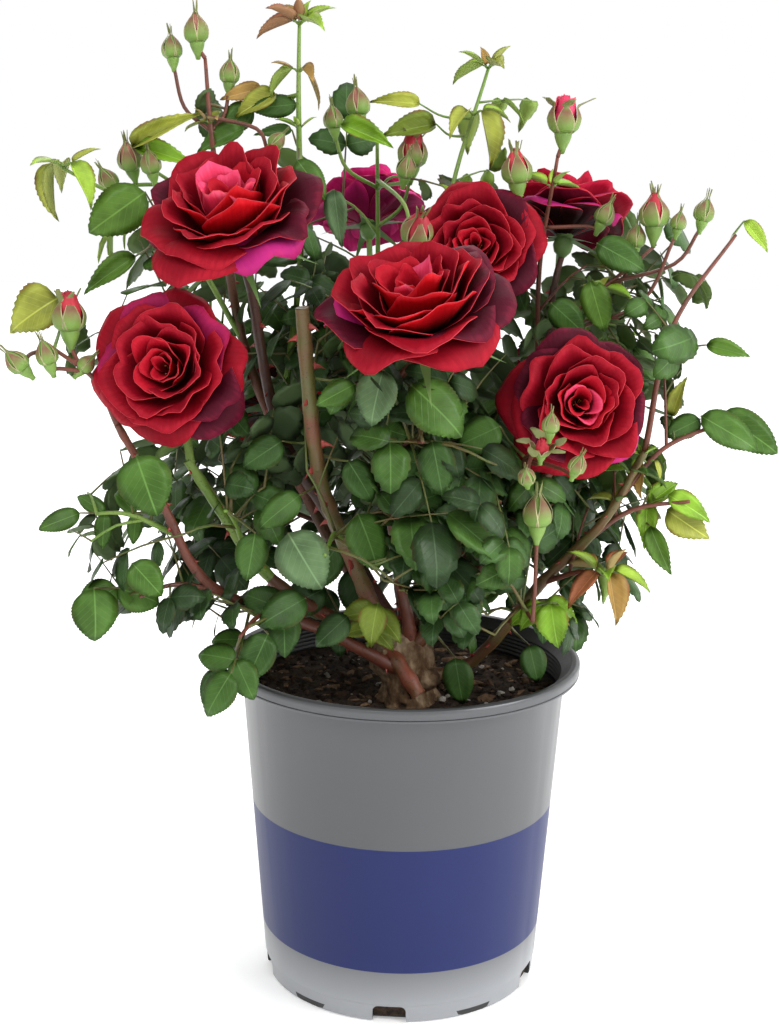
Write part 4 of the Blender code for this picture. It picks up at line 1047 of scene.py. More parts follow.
class Foliage:
    """Grows every mass by the solid's rule, carried on to finer twigs, and gathers it by kind."""

    def __init__(self, settings, limbs):
        self.settings = settings
        self.limbs = limbs
        self.room = Room(limbs)
        self.shapes = leaflet_shapes()
        self.leaves = {piece: Sheaf() for piece in LEAF_PIECES}
        self.stems = Sheaf()
        self.stem_kinds = ["green", "red", "stalk"]
        self.leaflets = 0
        self.paths = {name: self.route(name) for name in MASSES}
        self.needed = dict.fromkeys(MASSES, 0.0)

    def need(self, limb, share):
        """Remembers that a mass's stem carries something at this share of its length."""
        if limb in self.needed:
            self.needed[limb] = max(self.needed[limb], min(1.0, share))

    def route(self, name):
        """The stem's path by the solid's rule: of its possible bows, the one that the solid took."""
        cane, share, tip = MASSES[name][:3]
        foot, _ = point_along(self.limbs[cane][0], share)
        tip = Vector(tip)
        node_points = np.array([tuple(vert.co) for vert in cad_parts[name].data.vertices])
        reach = (tip - foot).length
        along = (tip - foot).normalized()
        up = (Vector((0, 0, 1)) - along * along.z).normalized() if abs(along.z) < 0.98 else Vector((0, -1, 0))
        best = None
        for bow in STEM_BOWS:
            for turn in range(8):
                side = Matrix.Rotation(turn * STEM_TURN, 3, along) @ up
                places = [foot, foot.lerp(tip, 0.5) + side * (bow * reach), tip]
                miss = sum(np.linalg.norm(node_points - np.array(place), axis=1).min()
                           for place in through(places, SOLID_STEPS)[1:])
                if best is None or miss < best[0]:
                    best = (miss, through(places, STEM_STEPS))
        return best[1]

    def nearest_stem(self, place, least):
        """The nearest point, at least this far off, of any stem or cane that a leaf here could grow from."""
        paths = {**self.paths, **{name: limb[1] for name, limb in self.limbs.items()}}
        points = [(point, name, index) for name, path in paths.items()
                  for index, point in enumerate(path)
                  if index >= FIRST_BEARING_POINT and (point - place).length >= least]
        point, name, index = min(points, key=lambda item: (item[0] - place).length
                                 + CLIMB_COST * max(0.0, item[0].z - place.z))
        self.need(name, index / (len(paths[name]) - 1) + STEM_BEYOND_LEAF)
        return point

    def blade(self, root, along, normal, length, tone, shape, chance, breadth=1.0):
        """Sets one leaflet, whose material numbers for its upper and its lower face follow its tone."""
        along = along.normalized()
        side = along.cross(normal).normalized()
        normal = side.cross(along)
        points, faces, tones, uvs = self.shapes[shape][chance.randrange(len(self.shapes[shape]))]
        axes = np.array([tuple(side * (length * breadth)), tuple(along * length), tuple(normal * length)])
        piece = next(name for name, tones_in_it in LEAF_PIECES.items() if tone in tones_in_it)
        base = 2 * LEAF_PIECES[piece].index(tone)
        self.leaves[piece].add(points @ axes + np.array(root), faces, [base + part for part in tones], uvs)
        self.room.take(root, root + along * length)
        self.leaflets += 1

    def stalk(self, path, first, last, kind, sides=4):
        points, faces, uvs = tube(path, tapered(first, last, len(path)), sides)
        self.stems.add(points, faces, self.stem_kinds.index(kind), uvs)

    def standing_leaf(self, pixel, depth, length, heading, pairs, tone, breadth, chance):
        """One of the leaves that stand out: its stalk from a stem, its end leaflet and its pairs."""
        root = seen_at(pixel, depth)
        turn = math.radians(heading)
        along = Vector((math.cos(turn), -STANDING_LEAN, math.sin(turn))).normalized()
        young = tone in LEAF_PIECES["young"]
        base = self.nearest_stem(root, (0.4 + PAIR_SPACING * pairs) * length)
        path = through([base, base.lerp(root, 0.55) + Vector((0, 0.012, -0.003)), root], 6)
        self.stalk(path, *STANDING_STALK, "green" if young else "stalk", 5)
        normal = (VIEW_PLACE - root).normalized() + Vector((chance.uniform(-0.35, 0.35), 0, 0.30))
        side = along.cross(normal).normalized()
        shape = "narrow_fine" if young or breadth < NARROW_BELOW else "broad_fine"
        full = FINE_BREADTHS[shape]
        self.blade(root, along, normal, length, tone, shape, chance, breadth * full)
        self.room.keep_in_sight(root + along * (0.5 * length), 0.36 * length * min(1.0, breadth))
        reach = length_of(path)
        for pair in range(pairs):
            place, _ = point_along(path, max(0.1, 1 - (0.55 + PAIR_SPACING * pair) * length / reach))
            for hand in (-1, 1):
                turned = along * 0.45 + side * hand + Vector((0, 0, chance.uniform(-0.3, 0.1)))
                size = length * (0.86 - 0.14 * pair) * chance.uniform(0.92, 1.05)
                tilt = normal + side * (hand * chance.uniform(-0.1, 0.5)) + Vector((0, 0, 0.2))
                self.blade(place, turned, tilt, size, tone, shape, chance, breadth * full)
                self.room.keep_in_sight(place + turned.normalized() * (0.5 * size), 0.25 * size)

    def tuft(self, limb, share, count, length, first_turn, rises, tones, chance):
        """Young leaves round a shoot, from the long low ones to the short upright ones."""
        place, _ = point_along(self.paths[limb] if limb in self.paths else self.limbs[limb][1], share)
        self.room.keep_in_sight(place, 0.7 * length)
        self.need(limb, share)
        for index in range(count):
            part = index / (count - 1)
            turn = math.radians(first_turn) + index * GOLDEN_ANGLE
            rise = math.radians(rises[0] + (rises[1] - rises[0]) * part)
            flat = Vector((math.cos(turn), math.sin(turn), 0))
            way = flat * math.cos(rise) + Vector((0, 0, math.sin(rise)))
            root = place + (flat + Vector((0, 0, 0.6))) * (0.16 * length)
            bend = place.lerp(root, 0.6) + Vector((0, 0, 0.0006))
            self.stalk([place, bend, root], *TUFT_STALK, "green", 5)
            face = Vector((0, 0, 1)) * math.cos(rise) - flat * math.sin(rise) + Vector((0, -0.35, 0))
            size = length * (1 - TUFT_SHRINK * part)
            self.blade(root, way, face, size, tones[index % len(tones)], "narrow_fine", chance, TUFT_BREADTH)

    def leaf(self, foot, way, length, pairs, colour, chance):
        """One compound leaf: a stalk, then opposite pairs of leaflets and one at its end, where they fit.

        Its faces look outwards from the bush and up to the light, and its leaflets hang a little.
        """
        flat = Vector((way.x, way.y, 0)).normalized() if way.xy.length > 1e-4 else Vector((1, 0, 0))
        out = Vector((foot.x, foot.y, 0)) * 8 + flat
        look = out.normalized() * chance.uniform(0.35, 1.0) + Vector((0, 0, chance.uniform(0.25, 0.85)))
        look = (look + Vector([chance.uniform(-0.3, 0.3) for _ in range(3)])).normalized()
        side = way.cross(look).normalized()
        reach = length * (0.50 + PAIR_SPACING * pairs)
        sag = Vector((0, 0, -0.12 * reach))
        path = through([foot, foot + way * (0.5 * reach) + sag * 0.2, foot + way * reach + sag], 2)
        shape = "narrow" if colour in ("young", "bronze") else "broad"
        tone = chance.choice(LEAF_TONES[colour])
        wanted = []
        for pair in range(pairs):
            share = (0.65 + PAIR_SPACING * pair) * length / reach
            root, _ = point_along(path, share)
            size = length * (0.78 + 0.10 * pair) * chance.uniform(0.92, 1.05)
            for hand in (-1, 1):
                along = way * 0.55 + side * hand
                wanted.append((root, along, look + side * (hand * chance.uniform(-0.10, 0.40)), size, share))
        wanted.append((path[-1], way, look + side * chance.uniform(-0.3, 0.3), length, 1.0))
        hang = Vector((0, 0, -DROOP))
        wanted = [(root, along - look * (0.8 * along.dot(look)) + hang * chance.uniform(0.4, 1.2), tilt,
                   size, share) for root, along, tilt, size, share in wanted]
        gap = self.settings.crowding
        fitting = [item for item in wanted
                   if self.room.free(item[0], item[0] + item[1].normalized() * item[3], gap * item[3])]
        if len(fitting) < max(2, len(wanted) - 2):
            return False
        end = max(item[4] for item in fitting)
        kept = [point_along(path, end * step / 4)[0] for step in range(5)]
        self.stalk(kept, STALK_RADIUS * 1.1, STALK_RADIUS * 0.6, "green" if shape == "narrow" else "stalk")
        for root, along, tilt, size, _ in fitting:
            self.blade(root, along, tilt, size, tone, shape, chance)
        return True

    def grow(self, name):
        leaf_count, twigs, length, colour, stem, buds = MASSES[name][3:]
        chance = random.Random(name)
        path = self.paths[name]
        leaf_end = LEAF_END_BUDS if buds else LEAF_END_TIP
        fuller = FULLNESS.get(colour, 1.0)
        leaf_count, twigs = round(leaf_count * fuller), round(twigs * fuller)
        last = self.leaves_along(path, leaf_count, length, colour, chance, LEAF_START * 0.5, leaf_end)
        self.need(name, last)
        for index in range(twigs):
            share = TWIG_START + TWIG_SPREAD * (index + 0.5) / twigs
            begin, along = point_along(path, share)
            turn = index * 2.1 + chance.uniform(-0.6, 0.6)
            out = around(along, turn)
            way = (along * 0.55 + out + Vector((0, 0, 0.30))).normalized()
            end = begin + way * chance.uniform(*TWIG_LENGTHS)
            if not (self.room.inside(end) and self.room.clear_of_heads(end)):
                continue
            twig = through([begin, begin.lerp(end, 0.5) + Vector((0, 0, 0.004)), end], 3)
            last = self.leaves_along(twig, 2, length * TWIG_LEAF_SIZE, colour, chance, 0.45, 1.0)
            if last:
                kept = [point_along(twig, last * step / 4)[0] for step in range(5)]
                kind = "stalk" if colour == "dark" else stem
                self.stalk(kept, STEM_TIP_RADIUS * 1.1, STEM_TIP_RADIUS * 0.7, kind, 5)
                self.need(name, share)
        stem_path = cut_at(path, 1.0 if buds else max(STEM_LEAST, self.needed[name]))
        self.stalk(stem_path, STEM_FOOT_RADIUS, STEM_TIP_RADIUS, stem, 8)

    def leaves_along(self, path, count, length, colour, chance, first, last):
        """Sets leaves along a path, and returns the share of it where the last one that fitted stands."""
        furthest = 0.0
        for index in range(count):
            share = first + (last - first) * (index + 0.6) / count
            start, along = point_along(path, share)
            for attempt in range(self.settings.tries):
                turn = index * GOLDEN_ANGLE + chance.uniform(-0.5, 0.5) + attempt * NEXT_TURN
                out = around(along, turn)
                way = (along * 0.45 + out + Vector((0, 0, 0.25))).normalized()
                pairs = 2 if chance.random() < TWO_PAIRS else 1
                size = length * chance.uniform(*LEAF_SIZES)
                if self.leaf(start, way, size, pairs, colour, chance):
                    furthest = share
                    break
        return furthest


# ---------------------------------------------------------------------------------------------------------
# Blooms and buds

# A petal's measures for its bloom's radius, each from the heart's petals to the guard petals: how far out its
# foot and its rim lie, how high its rim and its waist lie, half its width, its wave and its rim's roll.
PETAL_FOOT = (0.03, 0.13)
PETAL_REACH = (0.08, 0.34, 0.62, 0.90, 1.14)
PETAL_RISE = (0.30, 0.42, 0.42, 0.20, -0.14)
PETAL_WAIST = (-0.05, -0.16, -0.12, 0.02, 0.14)
PETAL_HALF_WIDTH = (0.18, 0.36, 0.48, 0.58, 0.66)
PETAL_WAVE = (0.020, 0.050, 0.065, 0.075, 0.085)
PETAL_ROLL = (0.05, 0.08, 0.11)
SEPALS = 5
SEPAL_TURN = math.radians(72)


def petal_grid(chance, radius, rank, spot, cup, across=13, along=12):
    """One petal's points, from its foot at the calyx to its rolled rim, and its UVs.

    rank runs from 0 at the heart to 1 for the guard petals, and spot is its azimuth.
    """
    s = np.linspace(-1, 1, across)[None, :]
    t = np.linspace(0, 1, along)[:, None]

    def by_rank(values):
        return radius * float(np.interp(rank, np.linspace(0, 1, len(values)), values))

    rim_reach = by_rank(PETAL_REACH) * chance.uniform(0.92, 1.06)
    rim_height = cup * by_rank(PETAL_RISE) + radius * chance.uniform(-0.05, 0.05)
    foot_reach, foot_height = by_rank(PETAL_FOOT), -0.34 * radius
    bend_reach = rim_reach * (1.0 - 0.46 * rank)
    bend_height = by_rank(PETAL_WAIST)
    outline = 1 - 0.27 * np.abs(s) ** 2.3 + 0.030 * np.sin(chance.uniform(4, 8) * s + chance.uniform(0, 6))
    outline = outline + chance.choice((-0.03, 0.05, 0.0)) * np.exp(-(s / 0.18) ** 2)
    u = t * outline
    reach = (1 - u) ** 2 * foot_reach + 2 * u * (1 - u) * bend_reach + u ** 2 * rim_reach
    height = (1 - u) ** 2 * foot_height + 2 * u * (1 - u) * bend_height + u ** 2 * rim_height
    way_r = 2 * (1 - u) * (bend_reach - foot_reach) + 2 * u * (rim_reach - bend_reach)
    way_z = 2 * (1 - u) * (bend_height - foot_height) + 2 * u * (rim_height - bend_height)
    size = np.sqrt(way_r ** 2 + way_z ** 2)
    in_r, in_z = -way_z / size, way_r / size
    half_width = by_rank(PETAL_HALF_WIDTH) * chance.uniform(0.85, 1.15)
    width = half_width * (0.18 + 0.82 * np.sin(0.5 * math.pi * np.minimum(1, u / 0.72)))
    turn = s * np.minimum(width / np.maximum(reach, 1e-6), 1.8)
    wave = np.sin(chance.uniform(1.6, 3.4) * s + chance.uniform(0, 6)) \
        + 0.45 * np.sin(chance.uniform(5, 9) * s + chance.uniform(0, 6))
    push = by_rank(PETAL_WAVE) * wave * u ** 2.4
    push = push - by_rank(PETAL_ROLL) * np.clip((u - 0.80) / 0.20, 0, 1) ** 2
    push = push - 0.13 * radius * rank * (np.abs(s) ** 2.5) * u
    spiral = 1 + chance.uniform(-0.05, 0.11) * s * (0.4 + u)
    reach = (reach + push * in_r) * spiral
    height = height + push * in_z
    return wrapped_sheet(reach, spot + turn, height, s, t)


# The petals' tones, how many petals make the heart, and which of them is the first pink one. From one rank on
# petals are guard petals, and from a lower one on they have faded in a faded bloom.
PETAL_TONES = ["crimson", "maroon", "magenta", "pink", "plum", "rose", "heart"]
HEART_PETALS = 9
FIRST_PINK = 3
GUARD_RANK, FADED_RANK = 0.66, 0.30
# How near the lowest azimuth a guard petal is unfaded, as the cosine between them.
UNFADED = 0.78
FADED = ("plum", "rose")
# The tones that guard petals are dealt, for the tone that their bloom names.
GUARD_TONES = {"maroon": ["maroon", "maroon", "plum", "crimson"],
               "magenta": ["magenta", "crimson", "crimson", "maroon"],
               "crimson": ["crimson", "maroon"], "plum": ["plum", "magenta", "plum"],
               "rose": ["rose"]}


def bloom_petals(name, radius, spin, pink, cup, guards, petal_count, lowest):
    """All the petals of one bloom that faces +Z, each turned from the last by the golden angle.

    The guard petals nearest the lowest azimuth have faded least, so they are crimson.
    """
    chance = random.Random(name)
    sheaf = Sheaf()
    for index in range(petal_count):
        rank = (index / (petal_count - 1)) ** 0.95
        spot = spin + index * GOLDEN_ANGLE + chance.uniform(-0.32, 0.32)
        points, faces, uvs = petal_grid(chance, radius, rank, spot, cup)
        tone = "heart" if index < HEART_PETALS else "crimson"
        if rank > GUARD_RANK:
            tone = chance.choice(GUARD_TONES[guards])
            if guards not in FADED and math.cos(spot - lowest) > UNFADED:
                tone = "crimson"
        elif rank > FADED_RANK and guards in FADED:
            tone = "rose" if guards == "rose" else "magenta"
        if FIRST_PINK <= index < FIRST_PINK + pink:
            tone = "pink"
        sheaf.add(points, faces, PETAL_TONES.index(tone), uvs)
    return sheaf


def stamens(radius, chance, count=12):
    """Points, faces and UVs of each of a bloom's stamens: a fine thread that ends in a thicker anther."""
    for index in range(count):
        turn = index * GOLDEN_ANGLE
        out = radius * chance.uniform(0.04, 0.15)
        aside = Vector((math.cos(turn), math.sin(turn), 0)) * out
        foot = aside * 0.4 + Vector((0, 0, -0.20 * radius))
        tip = aside + Vector((0, 0, radius * chance.uniform(-0.10, -0.02)))
        yield tube([foot, foot.lerp(tip, 0.5), foot.lerp(tip, 0.9), tip], [0.0002, 0.0002, 0.0002, 0.0005], 5)


def sepal(length, width, curl):
    """A narrow pointed green leaf along +Z from its foot, that curls outwards along +X."""
    rows = 6
    points, uvs = [], []
    for row in range(rows):
        t = row / (rows - 1)
        half = width / 2 * (1 - t) ** 0.8 * (0.75 + 0.9 * t * (1 - t))
        out, up = length * curl * t * t, length * t * (1 - 0.35 * abs(curl) * t)
        for column in (-1, 0, 1):
            points.append((out - 0.25 * half * abs(column), column * half, up))
            uvs.append((0.5 + 0.5 * column, t))
    return np.array(points), grid_faces(rows, 3), np.array(uvs)


# The buds' tones, and each kind's size.
BUD_TONES = ["hip", "sepal", "edge", "red", "pink", "bronze"]
BUD_SIZES = {"small": 0.72, "green": 0.92, "large": 1.25, "showing": 1.12, "budding": 1.38, "opening": 1.35,
             "pink": 1.35, "spent": 0.66}
# Each kind of bud's petals, how far they have opened, and how far its sepals have let go.
BUD_STAGES = {"small": ("sepal", 0.0, 0.0), "green": ("sepal", 0.0, 0.0), "large": ("sepal", 0.0, 0.02),
              "showing": ("bronze", 0.02, 0.0), "budding": ("red", 0.10, 0.03),
              "opening": ("red", 0.34, 0.12), "pink": ("pink", 0.46, 0.22), "spent": ("red", 0.30, 0.50)}


# A furled bud's outline, from its seat on the hip to its tip: the share of its height and of its radius.
BUD_HEIGHTS = (0.0, 0.12, 0.32, 0.52, 0.72, 0.88, 1.0)
BUD_WIDTHS = (0.62, 0.90, 1.00, 0.92, 0.66, 0.34, 0.10)
# How many rows of a sepal, from its foot, have a pale edge.
EDGED_ROWS = 8


def bud_radius(share):
    return float(np.interp(share, BUD_HEIGHTS, BUD_WIDTHS))


def furled_petals(radius, low, high, opened, count=7):
    """The petals of a bud: overlapping wraps that narrow to a spiralled mouth, the outer ones laid open."""
    shapes = []
    size = 9
    t = np.linspace(0, 1, size)[:, None]
    s = np.linspace(-1, 1, size)[None, :]
    for index in range(count):
        depth = index / count
        loose = opened * (1 - depth) ** 1.2
        body = np.array([bud_radius(0.08 + 0.86 * share) for share in t[:, 0]])[:, None]
        reach = radius * (1 - 0.70 * depth) * (body * (1 - loose) + (0.62 + 0.50 * t) * loose)
        reach = reach * (1 + 0.08 * s) + radius * 0.30 * loose * np.clip((t - 0.78) / 0.22, 0, 1) ** 1.5
        angle = index * GOLDEN_ANGLE + s * (1.35 + 0.25 * depth) + 0.5 * t * depth
        height = low + (high - low) * t * (1 - 0.16 * np.abs(s) ** 2.2) * (0.92 + 0.10 * depth)
        height = height + radius * 0.05 * np.sin(5 * s + index) * t ** 2
        shapes.append(wrapped_sheet(reach, angle, height, s, t))
    return shapes


def bud_sepal(chance, radius, low, high, freed):
    """A sepal that lies along the bud, with a pale edge, and ends in a thin twisted tip."""
    rows, beyond = 12, chance.uniform(0.30, 0.52)
    loose = chance.uniform(0.0, 0.3) + 2.0 * freed
    points, uvs = [], []
    for row in range(rows):
        t = row / (rows - 1) * (1 + beyond)
        on_bud = min(t, 1.0)
        past = max(0.0, t - 1.0)
        half = (0.66 * (1 - on_bud) ** 0.62 + 0.10) * (1 - 0.80 * past / beyond)
        out = bud_radius(on_bud) * radius * 1.05 * (1 - 0.5 * past / beyond)
        out += freed * radius * 3.2 * t ** 2 + loose * radius * past
        up = low + (high - low) * (t * (1 - 0.55 * freed * t))
        for column in (-1.0, -0.86, 0.0, 0.86, 1.0):
            turn = column * half * (1.0 if on_bud < 1 else 5.0) + 0.9 * past
            reach = out * (1 + 0.05 * (1 - abs(column)))
            points.append((reach * math.cos(turn), reach * math.sin(turn), up))
            uvs.append((0.5 + 0.5 * column, min(1.0, t)))
    tones = [BUD_TONES.index("edge" if column in (0, 3) and row < EDGED_ROWS else "sepal")
             for row in range(rows - 1) for column in range(4)]
    return np.array(points), grid_faces(rows, 5), np.array(uvs), tones


def add_bud(sheaf, place, way, kind, chance):
    """A bud on its hip: furled petals, and five sepals that hold them or have let go."""
    length, radius = BUD_LENGTH * BUD_SIZES[kind], BUD_RADIUS * BUD_SIZES[kind] * 1.02
    petals, opened, freed = BUD_STAGES[kind]
    seat = facing(way, place - way * (0.5 * length)) @ Matrix.Rotation(chance.uniform(0, 6), 4, "Z")
    hip = [(0.0, -0.18 * length), (0.0012, -0.17 * length), (0.26 * radius, -0.06 * length),
           (0.46 * radius, 0.06 * length), (0.58 * radius, 0.16 * length), (0.62 * radius, 0.24 * length),
           (0.60 * radius, 0.28 * length), (0.0, 0.30 * length)]
    points, faces = turned_body(hip, 14)
    sheaf.add(moved(points, seat), faces, BUD_TONES.index("hip"))
    low, high = 0.25 * length, length * (0.96 if opened < 0.2 else 1.04)
    core = [(0.0, low)]
    for share in (0.02, 0.15, 0.32, 0.50, 0.68, 0.84, 0.95):
        core.append((0.90 * radius * bud_radius(share), low + (high - low) * share * (0.98 - opened * 0.5)))
    core.append((0.0, low + (high - low) * (0.99 - opened * 0.5)))
    points, faces = turned_body(core, 14)
    sheaf.add(moved(points, seat), faces, BUD_TONES.index(petals))
    if petals != "sepal":
        for points, faces, uvs in furled_petals(radius * 0.93, low + 0.12 * (high - low), high, opened):
            sheaf.add(moved(points, seat), faces, BUD_TONES.index(petals), uvs)
    for index in range(SEPALS):
        top = high if opened < 0.05 else low + (high - low) * (0.92 - 0.30 * opened)
        points, faces, uvs, tones = bud_sepal(chance, radius, low, top, freed + chance.uniform(0, 0.03))
        turn = seat @ Matrix.Rotation(index * SEPAL_TURN + chance.uniform(-0.1, 0.1), 4, "Z")
        sheaf.add(moved(points, turn), faces, tones, uvs)


# ---------------------------------------------------------------------------------------------------------
# Settings


class RosePotSettings(bpy.types.PropertyGroup):
    """The pot's finish and printed band."""

    plastic: FloatVectorProperty(name="Plastic", description="Colour of the pot's outer skin",
                                 default=(0.092, 0.095, 0.100), subtype="COLOR", min=0.0, max=1.0)
    band: FloatVectorProperty(name="Band", description="Colour of the printed band",
                              default=(0.016, 0.024, 0.104), subtype="COLOR", min=0.0, max=1.0)
    band_low: FloatProperty(name="Band foot", description="Height of the band's lower edge", default=0.034,
                            unit="LENGTH", min=0.012, max=0.10)
    band_high: FloatProperty(name="Band top", description="Height of the band's upper edge", default=0.116,
                             unit="LENGTH", min=0.05, max=0.19)
    segments: IntProperty(name="Segments", description="Faces round the pot", default=180, min=45, max=360)


class RoseSoilSettings(bpy.types.PropertyGroup):
    """The potting mix."""

    crumbs: IntProperty(name="Crumbs", description="Lumps and bark chips that lie on the mix", default=1100,
                        min=0, max=4000)
    roughness: FloatProperty(name="Lumpiness", description="Height of the mix's lumps", default=0.0050,
                             unit="LENGTH", min=0.0, max=0.01)


class RoseCaneSettings(bpy.types.PropertyGroup):
    """The canes and their thorns."""

    thorn_length: FloatProperty(name="Thorn length", description="Length of a full-grown thorn",
                                default=0.0056, unit="LENGTH", min=0.001, max=0.012)
    thorn_spacing: FloatProperty(name="Thorn spacing", description="Length of cane for each thorn",
                                 default=0.0135, unit="LENGTH", min=0.004, max=0.05)
    thorn_colour: FloatVectorProperty(name="Thorns", description="Colour of the thorns",
                                      default=(0.30, 0.045, 0.035), subtype="COLOR", min=0.0, max=1.0)


class RoseLeafSettings(bpy.types.PropertyGroup):
    """The leaves and twigs."""

    crowding: FloatProperty(name="Spacing", description="Least gap between leaflets, for their length",
                            default=0.46, min=0.1, max=1.5)
    tries: IntProperty(name="Tries", description="Turns tried for each leaf before it is left out",
                       default=10, min=1, max=20)
    margin_red: FloatProperty(name="Red margin", description="How red the margins of young leaves are",
                              default=0.75, subtype="FACTOR", min=0.0, max=1.0)


class RoseBloomSettings(bpy.types.PropertyGroup):
    """The blooms' petals."""

    petals: IntProperty(name="Petals", description="Petals in each bloom", default=34, min=12, max=80)
    thickness: FloatProperty(name="Petal thickness", description="Thickness of a petal", default=0.0004,
                             unit="LENGTH", min=0.0001, max=0.001)
    crimson: FloatVectorProperty(name="Crimson", description="Colour of most petals",
                                 default=(0.50, 0.0036, 0.008), subtype="COLOR", min=0.0, max=1.0)
    maroon: FloatVectorProperty(name="Maroon", description="Colour of the darkest guard petals",
                                default=(0.140, 0.0028, 0.010), subtype="COLOR", min=0.0, max=1.0)
    magenta: FloatVectorProperty(name="Magenta", description="Colour of the sun-faded guard petals",
                                 default=(0.38, 0.005, 0.026), subtype="COLOR", min=0.0, max=1.0)
    pink: FloatVectorProperty(name="Pink", description="Colour of the heart's pink petals",
                              default=(0.76, 0.030, 0.085), subtype="COLOR", min=0.0, max=1.0)
    plum: FloatVectorProperty(name="Plum", description="Colour of the purple guard petals",
                              default=(0.17, 0.006, 0.024), subtype="COLOR", min=0.0, max=1.0)


class RoseStageSettings(bpy.types.PropertyGroup):
    """The studio: floor, light and camera."""

    floor: FloatVectorProperty(name="Floor", description="Colour of the floor", default=(0.90, 0.90, 0.90),
                               subtype="COLOR", min=0.0, max=1.0)
    key_power: FloatProperty(name="Key light", description="Power of the main soft light, in watts",
                             default=26.0, min=0.0, max=500.0)
    sky: FloatProperty(name="Sky", description="Strength of the even light from behind", default=1.0,
                       min=0.0, max=5.0)
    sky_front: FloatProperty(name="Front sky", description="Strength of the even light from the front",
                             default=0.45, min=0.0, max=5.0)
    lens: FloatProperty(name="Lens", description="The camera's focal length, in millimetres",
                        default=VIEW_LENS, min=20.0, max=200.0)


# ---------------------------------------------------------------------------------------------------------
# Operators

# The floor's size and how far it lies below the pot, and how strongly it glows, near the pot and far from it.
FLOOR_SIZE, FLOOR_DROP = 12.0, 0.0006
GLOW_REACH, GLOW = (0.10, 1.0), (0.22, 0.60)
# The studio's soft lights: where each stands, its share of the key light's power, and its width. They aim at
# the middle of the bush.
LIGHTS = (((-0.6, -1.5, 1.8), 0.72, 1.1), ((1.6, -0.9, 1.1), 1.10, 1.2), ((0.2, 1.4, 1.6), 0.55, 1.4))
LIGHT_AIM = Vector((0, 0, 0.30))
# Where the sky is brightest.
SKY_SIDE = (0.62, 0.78, 0.0)

# The ridges inside the pot's mouth: how many, how far apart and how deep. And the numbers of the pot's skins.
RIDGES, RIDGE_SPACING, RIDGE_DEPTH = 7, 0.0026, 0.0004
OUTER_SKIN, BAND_SKIN, INNER_SKIN = 0, 1, 2
# How far inside the wall's outside its inner skin starts, and the height above which every face that looks
# inwards wears it too.
SKIN_DEPTH = 0.0009
MOUTH_FOOT = 0.19

# The mix's grid, how far from the wall its lumps fade in, where its crumbs lie, their sizes and their shares:
# dark, brown, bark chips and pale grit.
SOIL_SEGMENTS, SOIL_RINGS = 150, 44
LUMPS_FADE = 0.004
CRUMB_REACH = 0.092
CRUMB_TRUNK_GAP = 0.020
CRUMB_LEAST, CRUMB_GROWTH = 0.0010, 0.0026
CRUMB_SHARES = (0.55, 0.22, 0.17, 0.06)
BARK_CHIP = 2

# The rootstock: its knobs' places and radii, its hollow's place and radius, how finely it is fused, the grain
# and the height of each relief of its bark, and the path of its cut stub.
KNOBS = ((-0.013, -0.036, 0.214, 0.0085), (0.014, -0.041, 0.206, 0.0080), (-0.006, -0.030, 0.226, 0.0095),
         (0.010, -0.028, 0.222, 0.0085), (0.001, -0.047, 0.196, 0.0070), (0.012, -0.022, 0.206, 0.0080))
HOLLOW_PLACE, HOLLOW_RADIUS, HOLLOW_SHAPE = (0.0065, -0.0535, 0.2045), 0.0062, (0.75, 1.1, 1.5)
FUSED_GRAIN = 0.0007
BARK_RELIEFS = (("CLOUDS", 0.010, 0.0034), ("VORONOI", 0.0042, 0.0016), ("CLOUDS", 0.0018, 0.0010))
STUB = [(-0.010, -0.041, 0.224), (-0.001, -0.050, 0.214), (0.009, -0.056, 0.200)]

# A cane's joints: how far apart they are, how far each spreads along it and how much it swells.
JOINT_SPACING, JOINT_SPREAD, JOINT_SWELL = 0.034, 0.0035, 0.16
# The grain and the height of a cane's relief.
SKIN_GRAIN, SKIN_RELIEF = 0.006, 0.0010
# The radius of a cane with full-grown thorns, and how far out a thorn's foot lies, for the radius there.
THICK_CANE, THORN_SEAT = 0.005, 0.82
# A thorn's rings for its length: how high each is, its size and how far it hooks down the cane.
THORN_RINGS = ((0.0, 1.0, 0.0), (0.30, 0.52, 0.02), (0.66, 0.22, 0.14), (1.0, 0.02, 0.38))

# Fewer leaflets than this means that the foliage has failed. And the redness of a grown leaf's margin.
LEAST_LEAFLETS = 300
GROWN_MARGIN_RED = 0.12

# A bud's stalk: its radii and kinds, and its bend: how far along it lies, its share of the stalk's rise and
# its sag for the stalk's length. How far a bud leans with its stalk, and how thick its petals are.
BUD_STALK = (0.0013, 0.0011)
BUD_STALK_KINDS = ["green", "red"]
BUD_BEND, BUD_BEND_RISE, BUD_BEND_SAG = 0.70, 0.34, 0.04
BUD_LEAN = 0.7
BUD_PETAL_THICKNESS = 0.0003

# A bloom's hip, as radius and height for the bloom's radius, and the radius of its stem at the bloom.
BLOOM_HIP = ((0.0, -0.68), (0.05, -0.67), (0.13, -0.58), (0.155, -0.48), (0.12, -0.38), (0.15, -0.31),
             (0.0, -0.28))
BLOOM_STEM_RADIUS = 0.0019


def set_camera(lens):
    deselect_all()
    bpy.ops.object.camera_add(location=VIEW_PLACE)
    camera = bpy.context.object
    camera.matrix_world = Matrix.Translation(VIEW_PLACE) @ view_turn()
    camera.data.lens = lens
    camera.data.sensor_width = VIEW_SENSOR
    camera.data.clip_start = 0.01
    bpy.context.scene.camera = camera


